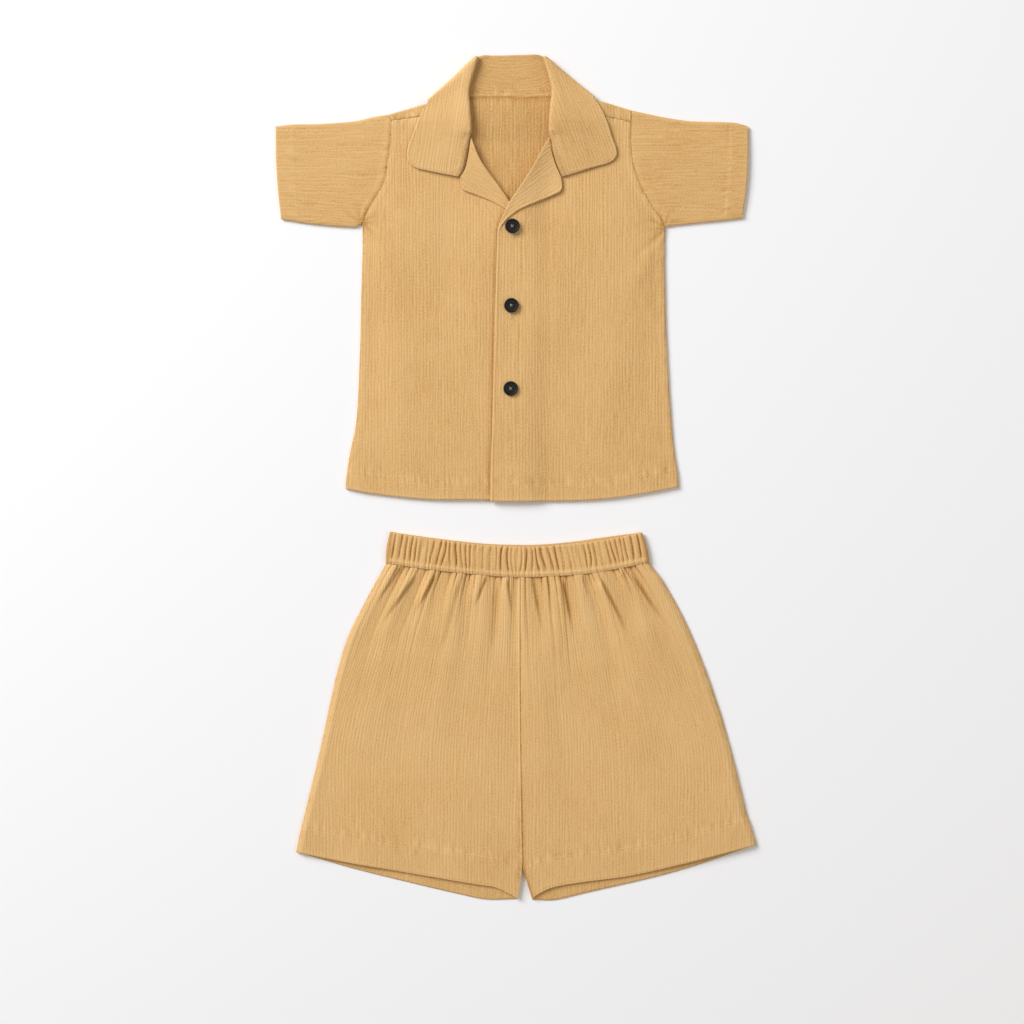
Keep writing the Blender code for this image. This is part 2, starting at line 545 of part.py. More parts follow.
def collar_net(steps):
    """Middle grid of the collar: a row of ten points for each section, from neck to outer edge."""
    table = collar_rows()
    rows = through(table, steps)
    neck, roll, edge = rows[:, 0:2], rows[:, 2:4], rows[:, 4:6]
    down, turn, side = np.clip(rows[:, 6:].T, 0.0, 1.0)
    floor = np.full(len(rows), CLOTH / 2)
    facing = np.sign(neck[:, 0] + 4.5)
    outward = np.column_stack([0.75 * facing, np.full(len(rows), 0.66)])
    in_fold = ((side > 0.001) & (side < 0.999) | fold_edge(steps, len(table))).astype(float)

    def folded(plan, over, under, tuck=0.0):
        """Point at its height, rounded over and tucked in where it is in the shoulder fold."""
        radius = (over - under) / 2
        inward = (radius * (np.sin(np.pi * side) - 1.0) - tuck) * in_fold
        height = (over + under) / 2 + radius * np.cos(np.pi * side)
        return np.column_stack([plan + outward * inward[:, None], height])

    stand_over = mix(leaf_level(*neck.T), front_level(*neck.T), down)
    stand_under = back_level(*neck.T)
    crest = stand_over + 2 * ROLL * turn
    leaf_over = np.maximum(leaf_level(*mix(roll, edge, 0.5).T), mix(crest, leaf_level(*edge.T), 0.45))
    way_in = neck - roll
    span_in = np.linalg.norm(way_in, axis=1)
    tight = 1 - ramp(span_in, 2.5, 5.0)
    before = roll + way_in * np.minimum(0.5, 1.3 / span_in)[:, None]
    way_out = edge - roll
    after = roll + way_out * (1.3 / np.linalg.norm(way_out, axis=1))[:, None]
    before_over = mix(stand_over, crest, mix(0.12, 0.25, tight) * turn)
    middle_under = (stand_under + floor) / 2
    return np.stack([
        folded(neck, stand_over, stand_under),
        folded(mix(neck, before, 0.5), mix(stand_over, before_over, 0.3), stand_under, STAND_TUCK / 2),
        folded(before, before_over, mix(stand_under, floor, 0.12), STAND_TUCK),
        folded(roll, mix(stand_over, crest, 0.5), middle_under, STAND_TUCK / 4),
        folded(after, mix(crest, stand_over, 0.12 * turn), mix(floor, stand_under, 0.12)),
        folded(mix(after, edge, 0.12), mix(crest, leaf_over, 0.2), floor),
        folded(mix(after, edge, 0.3), mix(crest, leaf_over, 0.7), floor),
        folded(mix(after, edge, 0.5), leaf_over, floor),
        folded(mix(after, edge, 0.75), mix(leaf_over, leaf_level(*edge.T), 0.6), floor),
        folded(edge, leaf_level(*edge.T), floor),
    ], axis=1)


def fold_edge(steps, count):
    """True for the first and last section of each shoulder fold."""
    first = len(COLLAR_RIGHT)
    last = first + 4
    ends = (first, last, count - 1 - last, count - 1 - first)
    return np.min(np.abs(np.asarray(steps)[:, None] - np.array(ends)[None, :]), axis=1) < 0.001


def add_collar():
    """The one-piece collar: stand, roll and leaf, swept from one front edge to the other."""
    middle = collar_net(np.arange(len(collar_rows()), dtype=float))[:, ::-1]
    half = around(middle) * CLOTH / 2
    add_wall("collar", middle + half, middle - half)


def add_lapel(name, gorge, edge, roll, level, sign):
    """The turned-back top of a front, lying on it, raised a little along its roll line."""
    share = np.linspace(0, 1, 9)
    roll_line = curve(roll, share)
    free = curve(edge, share)
    across = np.linspace(0, 1, 6)
    high = curve(gorge, across)
    low = (1 - across)[:, None] * roll_line[0] + across[:, None] * free[0]
    roll_line[-1] = high[0]
    plan = patch(low, high, roll_line, free)
    rise = LAPEL_ROLL * (1 - across[None, :]) ** 2 * np.sin(np.pi * share[:, None]) ** 0.5
    height = level(plan[:, :, 0], plan[:, :, 1]) + LAYER + 0.25 + rise
    if sign > 0:
        plan, height = plan[:, ::-1], height[:, ::-1]
    add_flat(name, plan, height)


def add_lapels():
    visible_right = [(-6.6, 237.0)] + ROLL_RIGHT[2:]
    add_lapel("lapel_right", GORGE_RIGHT, LAPEL_EDGE_RIGHT, visible_right, front_level, 1)
    add_lapel("lapel_left", GORGE_LEFT, LAPEL_EDGE_LEFT, ROLL_LEFT, left_front_level, -1)


def add_button(name, x, y):
    """A round four-hole button with a raised rim, resting on the left front."""
    seat = left_front_level(np.array(x), np.array(y)) + CLOTH / 2 + GAP
    angles = np.linspace(0, 2 * np.pi, BUTTON_SIDES, endpoint=False)
    profile = [
        (BUTTON_RADIUS - 0.9, 0.0),
        (BUTTON_RADIUS, 0.8),
        (BUTTON_RADIUS, BUTTON_HEIGHT - 0.5),
        (BUTTON_RADIUS - BUTTON_RIM / 2, BUTTON_HEIGHT),
        (BUTTON_RADIUS - BUTTON_RIM - 0.4, BUTTON_HEIGHT - BUTTON_DISH),
    ]
    points = [(x + r * np.cos(a), y + r * np.sin(a), seat + z) for r, z in profile for a in angles]
    faces = []
    for ring in range(len(profile) - 1):
        for k in range(BUTTON_SIDES):
            after = (k + 1) % BUTTON_SIDES
            low, high = ring * BUTTON_SIDES, (ring + 1) * BUTTON_SIDES
            faces.append((low + k, low + after, high + after, high + k))
    faces.append(tuple(range(BUTTON_SIDES))[::-1])
    faces.append(tuple(range((len(profile) - 1) * BUTTON_SIDES, len(profile) * BUTTON_SIDES)))
    button = add_mesh(name, points, faces, horn(name))
    for turn in range(4):
        angle = np.radians(45 + 90 * turn)
        reach = BUTTON_HOLE_PITCH / 2 * np.sqrt(2)
        place = (x + reach * np.cos(angle), y + reach * np.sin(angle), seat + BUTTON_HEIGHT / 2)
        cut_hole(button, "%s_hole_%d" % (name, turn + 1), place)


def cut_hole(button, name, place):
    """A round hole straight through a button."""
    bpy.ops.mesh.primitive_cylinder_add(vertices=10, radius=BUTTON_HOLE * MM,
                                        depth=3 * BUTTON_HEIGHT * MM, location=[v * MM for v in place])
    cutter = bpy.context.active_object
    cutter.name = name
    cutter.hide_render = True
    cutter.display_type = "WIRE"
    hole = button.modifiers.new(name, "BOOLEAN")
    hole.operation = "DIFFERENCE"
    hole.object = cutter


def add_buttons():
    for name, (x, y) in BUTTON_PLACES.items():
        add_button(name, x, y)


def uneven(count):
    """Even fractions from 0 to 1, pushed about a little, as gathered cloth spaces itself."""
    even = np.linspace(0, 1, count)
    push = 0.25 * np.sin(9.3 * even * np.pi) + 0.35 * np.sin(23.7 * even * np.pi + 1.1)
    return even + push * np.sin(np.pi * even) / BAND_PLEATS


def band_level():
    """Middle of the waistband's front layer."""
    return BAND_WALL * 1.5 + BAND_SLACK


def add_waistband():
    """The elastic casing: a flattened ring, pleated on its front and flat underneath."""
    per_pleat = 3
    front_share = uneven(BAND_PLEATS * per_pleat + 1)
    back_share = np.linspace(0, 1, 20)[::-1]
    wave = np.tile([0.0, 1.0, 0.55], BAND_PLEATS + 1)[:len(front_share)]
    size = 0.75 + 0.25 * np.sin(np.arange(len(front_share)) * 0.83)
    pleat = PLEAT_HEIGHT * wave * size
    heights = [0.0, 0.13, 0.3, 0.85, 1.0]
    swell = [0.35, 0.25, 0.9, 1.0, 0.45]
    outer, inner = [], []
    for share, amount in zip(heights, swell):
        bulge = BAND_BULGE * np.sin(np.pi * share)
        front = (1 - share) * curve(BAND_LOW, front_share) + share * curve(BAND_TOP_FRONT, front_share)
        back = (1 - share) * curve(BAND_LOW, back_share) + share * curve(BAND_TOP_BACK, back_share)
        front[0, 0] -= bulge
        front[-1, 0] += bulge
        back[0], back[-1] = front[-1], front[0]
        left_end, right_end = front[0].copy(), front[-1].copy()
        reach = np.array([BAND_BEND, 0.0])
        front_in = np.vstack([left_end + reach * 0.4, front[2:-2], right_end - reach * 0.4])
        back_in = np.vstack([right_end - reach, back[1:-1], left_end + reach])
        top = band_level() + BAND_WALL / 2
        gap_middle = BAND_WALL + BAND_SLACK / 2
        lift = np.concatenate([[-0.7], amount * pleat[2:-2], [-0.7]])
        outer.append(np.vstack([
            [(*left_end, gap_middle)],
            np.column_stack([front_in, top + lift]),
            [(*right_end, gap_middle)],
            np.column_stack([back_in, np.zeros(len(back_in))]),
        ]))
        wall = np.array([BAND_WALL, 0.0])
        front_low = np.vstack([left_end + reach * 1.2, front[2:-2], right_end - reach * 1.2])
        back_high = np.vstack([right_end - reach * 1.2, back[1:-1], left_end + reach * 1.2])
        inner.append(np.vstack([
            [(*(left_end + wall), gap_middle)],
            np.column_stack([front_low, np.full(len(front_low), top - BAND_WALL)]),
            [(*(right_end - wall), gap_middle)],
            np.column_stack([back_high, np.full(len(back_high), BAND_WALL)]),
        ]))
    add_wall("waistband", np.array(outer), np.array(inner), ring=True)


def shorts_level(x, y):
    """Middle of the shorts' fronts: full over the legs, close at the hems, rising to the waistband."""
    full = SHORTS_FULLNESS * ramp(y, -352, -290) * (1 - ramp(y, -140, -88))
    flat_front = CLOTH / 2 + LAYER + EASE
    at_band = (band_level() - flat_front) * ramp(y, -120, -80)
    return flat_front + full + at_band + fold_height(x, y, SHORTS_FOLDS)


def leg_rows(line, rows):
    """Row fractions of a leg: its turned hem in the first three, then the given ones."""
    length = length_of(line)
    depth = SHORTS_HEM / length
    above = depth + (1 - depth) * np.array(rows)
    return np.concatenate([[0.0, depth - STITCH_STEP / length, depth], above])


def leg_plan(outer_line, hem, inseam, band_start, rows, columns, sign):
    """Plan of one leg panel, from the side seam in to the rise and from its hem to the waistband."""
    share = np.linspace(0, 1, columns)
    low = curve(hem, share)
    high = curve(BAND_LOW, mix(band_start, band_share_of_rise(), share)) - (0.0, GAP)
    high[-1, 0] -= sign * HALF_SEAM
    outer = curve(outer_line, leg_rows(outer_line, rows))
    inner_line = joined(curve(inseam, np.linspace(0, 1, 30)), curve(RISE, np.linspace(0, 1, 60)))
    inner = curve(inner_line, leg_rows(inner_line, rows))
    inner[:, 0] -= sign * HALF_SEAM
    outer[0], inner[0] = low[0], low[-1]
    outer[-1], inner[-1] = high[0], high[-1]
    return patch(low, high, outer, inner)


def add_leg_front(name, outer_line, hem, inseam, band_start, sign):
    """The front of one leg, gathered under the waistband."""
    columns = 2 * LEG_GATHERS + 1
    plan = leg_plan(outer_line, hem, inseam, band_start, FRONT_ROWS, columns, sign)
    x, y = plan[:, :, 0], plan[:, :, 1]
    each = np.arange(columns)
    wave = (each % 2) * (0.7 + 0.3 * np.sin(each))
    height = shorts_level(x, y) + GATHER_HEIGHT * ramp(y, -150, -88) * wave[None, :]
    height[:-3, 0] = CLOTH / 2 + LAYER + SIDE_EASE
    if sign < 0:
        plan, height = plan[:, ::-1], height[:, ::-1]
    add_flat(name, plan, height, HEM_TURN * turned(len(plan)))


def add_leg_back(name, outer_line, hem, inseam, band_start, sign):
    """The back of one leg, flat on the floor, a little longer than the front at its hem."""
    plan = leg_plan(outer_line, hem, inseam, band_start, BACK_ROWS, BACK_COLUMNS, sign)
    if sign < 0:
        plan = plan[:, ::-1]
    add_flat(name, plan, np.full(plan.shape[:2], CLOTH / 2))


def add_shorts():
    add_leg_front("shorts_front_right", OUTER_RIGHT, FRONT_HEM_RIGHT, INSEAM_RIGHT, 0.0, 1)
    add_leg_front("shorts_front_left", OUTER_LEFT, FRONT_HEM_LEFT, INSEAM_LEFT, 1.0, -1)
    add_leg_back("shorts_back_right", OUTER_RIGHT, BACK_HEM_RIGHT, INSEAM_RIGHT, 0.0, 1)
    add_leg_back("shorts_back_left", OUTER_LEFT, BACK_HEM_LEFT, INSEAM_LEFT, 1.0, -1)


def band_share_of_rise():
    """Fraction of the waistband's lower edge at which the centre seam meets it."""
    share = np.linspace(0, 1, 400)
    return share[np.argmin(np.abs(curve(BAND_LOW, share)[:, 0] - RISE[-1][0]))]


def clear_scene():
    for existing in list(bpy.data.objects):
        bpy.data.objects.remove(existing, do_unlink=True)


def main():
    clear_scene()
    add_shirt_back()
    add_shirt_fronts()
    add_sleeves()
    add_collar()
    add_lapels()
    add_buttons()
    add_waistband()
    add_shorts()


main()
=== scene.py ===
"""Child's pyjama set in crinkled gauze, laid flat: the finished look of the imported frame.

Every panel, collar and band is one closed wall of cloth on the shape of its solid,
with ribs, hems, seams, gathers and stitches. Sizes below are in millimetres from the
middle of the laid-out set, and become metres when a mesh is made. Left and right are
the wearer's: the wearer's right is at -X.
"""

import bpy
import numpy as np
from bpy.props import FloatProperty, FloatVectorProperty, PointerProperty
from bpy.types import Operator, Panel, PropertyGroup
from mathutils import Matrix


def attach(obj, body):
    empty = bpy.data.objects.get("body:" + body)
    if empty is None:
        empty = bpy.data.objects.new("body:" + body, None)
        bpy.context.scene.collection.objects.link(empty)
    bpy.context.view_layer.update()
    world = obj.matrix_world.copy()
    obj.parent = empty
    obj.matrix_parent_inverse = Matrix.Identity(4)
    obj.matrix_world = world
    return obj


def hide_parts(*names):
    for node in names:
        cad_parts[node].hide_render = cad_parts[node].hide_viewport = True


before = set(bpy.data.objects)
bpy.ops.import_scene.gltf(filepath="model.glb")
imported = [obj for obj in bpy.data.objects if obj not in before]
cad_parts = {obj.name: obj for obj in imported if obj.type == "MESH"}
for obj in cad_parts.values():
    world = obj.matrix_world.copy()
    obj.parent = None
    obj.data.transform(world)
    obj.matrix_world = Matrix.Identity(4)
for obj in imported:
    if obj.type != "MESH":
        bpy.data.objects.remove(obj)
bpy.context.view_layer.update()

bl_info = {
    "name": "Laid-out pyjama set",
    "version": (1, 0, 0),
    "blender": (4, 5, 0),
    "location": "3D View > Sidebar > Pyjamas",
    "description": "Makes the cloth, buttons and stitching of a laid-out gauze pyjama set",
    "category": "Add Mesh",
}

MM = 0.001

# Cloth and layers, as in the solids
CLOTH = 1.0
RIB = 2.7
GAP = 0.3
LAYER = CLOTH + GAP
HEM_TURN = 0.5
FALL_LIFT = 1.7
EASE = 0.4
FULLNESS = 1.3
LEAF_EASE = 0.4
ROLL = 1.8
STAND_TUCK = 2.0
LAPEL_ROLL = 1.3
SHIRT_HEM = 15.0
SLEEVE_HEM = 15.5
SHORTS_HEM = 24.0
HEM_STITCH = 0.5
FACING = 21.3
COLLAR_STITCH = 2.6
NECK_STITCH = 6.8
COLLAR_MIDDLE = -4.5
LAPEL_EASE = 0.25
SLEEVE_FULLNESS = 0.9
SHORTS_FULLNESS = 1.2
BAND_WALL = 2.0
BAND_SLACK = 0.5
BAND_BULGE = 1.2
BAND_HEIGHT = 27.0
PLEATS = 46.0
SIDE_EASE = 0.05

# Seeds of each piece's noise, to which its kinds of relief add small numbers
SEEDS = {
    "shirt_front_right": 3,
    "shirt_front_left": 5,
    "shirt_back": 23,
    "sleeve_right": 31,
    "sleeve_left": 33,
    "collar": 41,
    "lapel_right": 51,
    "lapel_left": 53,
    "waistband": 61,
    "gathers": 71,
    "shorts_front_right": 81,
    "shorts_front_left": 83,
    "shorts_back_right": 85,
    "shorts_back_left": 87,
    "shorts_waves": 96,
}

# How much the finished collar and lapels stand up along the neck, and how that falls
# to nothing from the collar's neck edge to its outer edge
COLLAR_LIFT = 3.0
LEAF_SLOPE = np.array([0.55, 0.6, 0.75, 1.0, 1.0, 0.94, 0.8, 0.62, 0.44, 0.3])

# Buttons
BUTTON_RADIUS = 6.2
BUTTON_HEIGHT = 2.4
BUTTON_HOLE = 0.75
BUTTON_HOLE_PITCH = 2.5
BUTTON_PLACES = {
    "button_top": (-2.8, 213.3),
    "button_middle": (-3.6, 146.0),
    "button_bottom": (-4.2, 75.4),
}

# Shirt outlines, from the hem up: columns x, y
SIDE_RIGHT = [(-144.5, -9.7), (-144.3, -2.0), (-140.8, 21.6), (-135.3, 50.5), (-132.5, 108.3),
              (-131.5, 150.8), (-130.4, 190.0), (-130.2, 217.0)]
SIDE_LEFT = [(138.5, -8.2), (137.3, 6.3), (134.6, 23.3), (132.0, 53.0), (128.6, 108.3),
             (126.9, 159.3), (126.5, 190.0), (127.0, 213.2)]
ARMHOLE_RIGHT = [(-130.2, 217.0), (-123.4, 231.5), (-112.4, 250.2), (-108.7, 269.4),
                 (-106.0, 290.2), (-105.6, 303.8)]
ARMHOLE_LEFT = [(127.0, 213.2), (123.3, 221.3), (112.6, 236.6), (103.5, 254.9),
                (98.9, 274.9), (98.0, 302.6)]
HEM_RIGHT = [(-144.5, -9.7), (-120.1, -14.0), (-77.2, -18.5), (-36.1, -19.0), (10.5, -19.4)]
HEM_LEFT = [(138.5, -8.2), (104.4, -14.4), (75.1, -18.3), (45.8, -19.9), (2.8, -20.4),
            (-21.5, -20.4)]
EDGE_RIGHT = [(10.5, -19.4), (10.9, 59.8), (10.4, 138.0), (10.2, 187.3), (8.8, 209.4), (2.8, 222.2)]
EDGE_LEFT = [(-21.5, -20.4), (-21.3, 1.2), (-19.5, 59.8), (-17.6, 138.0), (-16.1, 187.3),
             (-15.0, 209.4), (-10.8, 222.2)]
ROLL_RIGHT = [(2.8, 222.2), (-4.8, 234.2), (-15.0, 248.8), (-29.7, 269.3), (-37.7, 288.5)]
ROLL_LEFT = [(-10.8, 222.2), (-4.3, 235.2), (5.4, 249.4), (15.5, 265.5), (21.5, 276.7),
             (28.4, 288.5)]
NECK_RIGHT = [(-37.7, 288.5), (-44.6, 298.5), (-52.0, 310.2)]
NECK_LEFT = [(28.4, 288.5), (35.0, 298.5), (43.0, 309.8)]
SHOULDER_SEAM_RIGHT = [(-105.6, 303.8), (-81.0, 307.0), (-52.0, 310.2)]
SHOULDER_SEAM_LEFT = [(98.0, 302.6), (77.0, 306.8), (43.0, 309.8)]

# Shoulder fold of the back: columns fold x, fold y, seam x, seam y
SHOULDER_RIGHT = [(-107.8, 308.9, -105.6, 303.8), (-92.0, 313.4, -92.5, 305.6),
                  (-76.0, 317.6, -77.0, 307.5), (-64.0, 320.0, -62.5, 309.1),
                  (-58.5, 321.0, -54.0, 310.0), (-55.0, 321.8, -53.5, 316.5)]
SHOULDER_LEFT = [(98.3, 312.4, 98.0, 302.6), (84.0, 316.8, 84.0, 305.6),
                 (68.0, 320.6, 68.0, 307.9), (55.5, 322.2, 54.0, 309.0),
                 (49.5, 323.2, 45.0, 309.8), (46.0, 323.8, 44.5, 317.0)]
BACK_NECK = [(-50.0, 322.9), (-38.0, 322.8), (-4.8, 322.4), (28.0, 322.8), (41.0, 323.4)]

# Sleeve outlines from the armhole out: columns x, y
SLEEVE_TOP_RIGHT = [(-107.8, 308.9), (-123.0, 306.3), (-138.0, 303.0), (-166.3, 300.8),
                    (-189.3, 300.4), (-204.2, 298.7)]
SLEEVE_LOW_RIGHT = [(-130.2, 217.0), (-134.0, 214.2), (-139.5, 213.0), (-170.6, 215.4),
                    (-199.5, 219.6)]
CUFF_RIGHT = [(-199.5, 219.6), (-202.2, 244.3), (-203.8, 269.8), (-204.2, 298.7)]
SLEEVE_TOP_LEFT = [(98.3, 312.4), (117.2, 308.4), (130.8, 305.7), (150.6, 303.1),
                   (183.9, 302.1), (197.8, 299.0)]
SLEEVE_LOW_LEFT = [(127.0, 213.2), (138.5, 214.8), (160.9, 217.1), (179.4, 218.9), (192.8, 220.6)]
CUFF_LEFT = [(192.8, 220.6), (195.2, 238.0), (196.9, 254.9), (197.8, 276.0), (197.8, 299.0)]

# Collar sections from the front edge to the shoulder: neck edge, roll and outer edge
# as x, y each, how far the neck edge has gone down, and how far the roll turns over
COLLAR_RIGHT = [
    # neck         roll          outer         down  turn
    (-47.6, 255.5, -51.0, 256.0, -84.0, 262.5, 0.0, 0.0),
    (-44.7, 260.0, -48.0, 260.5, -89.0, 266.0, 0.0, 0.0),
    (-42.8, 265.5, -46.0, 266.0, -92.0, 271.5, 0.0, 0.0),
    (-40.8, 275.0, -44.0, 275.5, -92.0, 279.0, 0.0, 0.0),
    (-39.0, 284.5, -42.0, 285.0, -89.5, 286.0, 0.0, 0.0),
    (-38.2, 288.9, -40.4, 289.1, -88.2, 289.2, 0.0, 0.05),
    (-37.3, 291.3, -39.2, 291.5, -87.4, 291.6, 0.45, 0.4),
    (-38.2, 293.6, -38.5, 293.8, -86.7, 293.6, 0.85, 0.9),
    (-41.4, 296.8, -38.0, 297.0, -85.6, 296.4, 1.0, 1.0),
    (-45.0, 300.5, -38.2, 302.5, -84.3, 299.8, 1.0, 1.0),
    (-50.4, 308.8, -39.2, 316.0, -81.5, 306.5, 1.0, 1.0),
    (-52.8, 315.5, -39.6, 330.5, -78.5, 312.4, 1.0, 1.0),
]
COLLAR_LEFT = [
    (39.1, 255.5, 42.5, 256.5, 75.0, 266.0, 0.0, 0.0),
    (37.2, 260.0, 40.5, 260.8, 82.0, 269.0, 0.0, 0.0),
    (34.8, 265.5, 38.0, 266.2, 86.0, 274.0, 0.0, 0.0),
    (31.8, 275.0, 35.0, 275.5, 85.5, 280.5, 0.0, 0.0),
    (29.7, 284.5, 32.7, 285.0, 83.2, 286.5, 0.0, 0.0),
    (28.9, 288.9, 31.1, 289.1, 82.2, 289.2, 0.0, 0.05),
    (28.0, 291.3, 29.9, 291.5, 81.4, 291.6, 0.45, 0.4),
    (28.9, 293.6, 29.2, 293.8, 80.8, 293.7, 0.85, 0.9),
    (32.1, 296.8, 28.7, 297.0, 79.8, 296.8, 1.0, 1.0),
    (35.6, 300.5, 28.7, 302.5, 78.6, 300.3, 1.0, 1.0),
    (41.4, 308.8, 29.8, 316.0, 75.8, 307.0, 1.0, 1.0),
    (43.8, 315.5, 30.8, 330.5, 72.5, 313.8, 1.0, 1.0),
]
COLLAR_SHOULDER_RIGHT = (-54.2, 324.3, -33.8, 357.6, -74.8, 320.2)
COLLAR_SHOULDER_LEFT = (45.8, 325.6, 25.4, 357.9, 67.2, 322.9)
COLLAR_BACK = [
    (-44.0, 323.4, -27.0, 358.6, -59.0, 312.0),
    (-32.0, 323.2, -20.0, 358.6, -36.0, 308.6),
    (-18.0, 323.0, -12.0, 358.7, -20.0, 308.0),
    (-4.5, 322.9, -4.5, 359.0, -4.5, 308.0),
    (9.0, 323.0, 4.5, 359.2, 11.0, 308.0),
    (22.5, 323.2, 12.5, 359.4, 27.0, 308.8),
    (35.0, 323.7, 19.0, 359.2, 50.5, 313.0),
]

# Lapels: the gorge seam and the free edge
GORGE_RIGHT = [(-38.1, 287.0), (-40.0, 275.0), (-42.0, 265.5), (-44.0, 260.0), (-47.0, 255.3)]
LAPEL_EDGE_RIGHT = [(-9.2, 228.4), (-21.0, 234.9), (-34.0, 240.2), (-43.6, 243.9), (-46.6, 247.5),
                    (-47.0, 255.3)]
GORGE_LEFT = [(28.7, 287.0), (31.0, 275.0), (34.0, 265.5), (36.5, 260.0), (38.5, 255.3)]
LAPEL_EDGE_LEFT = [(-15.2, 203.6), (-13.3, 210.3), (-10.5, 215.2), (-7.0, 219.5), (-2.0, 223.7),
                   (3.7, 227.6), (12.2, 231.5), (24.9, 236.9), (36.2, 241.9), (39.2, 245.2),
                   (39.3, 249.5), (38.5, 255.3)]

# Shorts outlines, from the hem up
OUTER_RIGHT = [(-187.0, -318.7), (-181.4, -293.8), (-167.7, -237.7), (-157.3, -189.2),
               (-149.6, -157.4),
               (-141.2, -132.3), (-128.4, -106.8), (-117.0, -85.5), (-109.9, -73.6)]
OUTER_LEFT = [(204.9, -312.5), (199.2, -293.8), (195.3, -281.5), (185.6, -241.9), (176.2, -207.1),
              (170.3, -189.2), (159.2, -157.8), (147.6, -129.7), (136.0, -106.5), (124.4, -87.2),
              (113.2, -72.8)]
FRONT_HEM_RIGHT = [(-187.0, -318.7), (-147.2, -326.9), (-94.1, -335.4), (-33.4, -345.3),
                   (-18.2, -347.6),
                   (-4.5, -353.6), (1.3, -357.0)]
FRONT_HEM_LEFT = [(204.9, -312.5), (161.2, -324.0), (118.7, -333.9), (92.9, -339.1), (55.0, -343.7),
                  (32.2, -347.6), (20.1, -352.8), (14.0, -357.0)]
BACK_HEM_RIGHT = [(-187.0, -318.7), (-139.7, -332.3), (-94.1, -343.7), (-48.5, -354.4),
                  (-25.0, -359.0),
                  (1.3, -358.6)]
BACK_HEM_LEFT = [(204.9, -312.5), (158.2, -328.6), (118.7, -339.9), (62.6, -352.8), (34.0, -359.4),
                 (14.0, -359.4)]
INSEAM_RIGHT = [(1.3, -358.0), (3.9, -342.0), (5.5, -328.6), (4.9, -300.0), (4.5, -274.2)]
INSEAM_LEFT = [(14.0, -358.0), (9.0, -342.0), (6.0, -328.6), (5.2, -300.0), (4.5, -274.2)]
RISE = [(4.5, -274.2), (3.5, -206.2), (3.2, -146.7), (3.4, -85.0)]
BAND_LOW = [(-110.2, -73.2), (-73.7, -78.5), (-31.2, -82.9), (3.4, -85.0), (50.4, -83.0),
            (84.4, -78.3),
            (113.3, -72.3)]
BAND_TOP_FRONT = [(-106.6, -46.3), (-73.7, -51.7), (-31.2, -57.0), (3.7, -58.8), (20.7, -58.6),
                  (63.2, -54.7), (84.4, -51.3), (107.4, -46.9)]
BAND_TOP_BACK = [(-106.6, -46.3), (-73.7, -51.1), (-31.2, -56.0), (-4.8, -57.3), (20.7, -57.2),
                 (50.4, -54.6), (71.7, -51.5), (107.4, -46.9)]

# Soft folds, as in the solids: columns start x, y, end x, y, width, height
SHORTS_FOLDS = [
    (74.2, -88.0, 96.0, -133.0, 5.0, 1.5),
    (40.8, -88.0, 50.0, -134.0, 4.5, 1.3),
    (-85.6, -86.0, -112.0, -124.0, 5.5, 1.3),
    (-48.0, -90.0, -62.0, -150.0, 6.0, 0.9),
    (100.0, -84.0, 132.0, -130.0, 5.0, 1.1),
    (-15.0, -92.0, -20.0, -160.0, 6.0, 0.8),
]
SHIRT_FOLDS = [
    (-127.0, 208.0, -92.0, 160.0, 9.0, 0.8),
    (124.0, 205.0, 92.0, 150.0, 9.0, 0.8),
    (-100.0, 40.0, -92.0, 150.0, 12.0, 0.5),
    (70.0, 10.0, 84.0, 140.0, 14.0, 0.5),
]

# Creases that only the finished cloth has; troughs have a negative height
SHORTS_CREASES = [
    (-6.5, -87.0, -2.6, -116.0, 4.0, 1.0),
    (91.0, -79.0, 102.0, -106.0, 3.4, 0.8),
    (-69.0, -84.0, -84.0, -115.0, 3.6, 1.1),
    (-97.0, -76.0, -118.0, -108.0, 4.2, 0.8),
    (15.0, -86.0, 23.0, -131.0, 4.0, 0.8),
    (-24.6, -85.0, -34.5, -110.0, 3.8, 0.9),
    (28.0, -85.0, 31.0, -108.0, 3.0, 0.6),
    (57.0, -83.0, 63.0, -104.0, 3.2, 0.6),
    (-120.0, -110.0, -142.0, -170.0, 12.0, 0.5),
    (122.0, -120.0, 150.0, -190.0, 14.0, 0.5),
    (36.0, -140.0, 46.0, -230.0, 16.0, 0.6),
    (-36.0, -150.0, -44.0, -240.0, 16.0, 0.5),
    (84.0, -150.0, 104.0, -250.0, 16.0, 0.5),
    (-84.0, -150.0, -100.0, -250.0, 16.0, 0.5),
]
SHIRT_CREASES = [
    (-128.0, 212.0, -104.0, 192.0, 3.0, -0.6),
    (-126.0, 219.0, -98.0, 214.0, 3.0, -0.4),
    (125.0, 208.0, 101.0, 186.0, 3.2, -0.6),
    (122.0, 217.0, 96.0, 212.0, 3.2, -0.4),
    (-60.0, 232.0, -66.0, 120.0, 10.0, -0.35),
    (58.0, 230.0, 62.0, 110.0, 11.0, -0.35),
    (-30.0, 210.0, -33.0, 60.0, 8.0, 0.3),
    (36.0, 200.0, 33.0, 70.0, 8.0, 0.3),
    (-118.0, 150.0, -122.0, 40.0, 7.0, -0.4),
    (110.0, 140.0, 114.0, 30.0, 7.0, -0.4),
    (-14.0, 60.0, 8.0, 20.0, 5.0, -0.25),
]


# ---- Shape helpers, the same formulas as the solids' ----

def ramp(value, start, end):
    """Smooth step from 0 at start to 1 at end."""
    t = np.clip((value - start) / (end - start), 0.0, 1.0)
    return t * t * (3.0 - 2.0 * t)


def mix(first, second, share):
    """Value between the first and the second."""
    return first + (second - first) * share


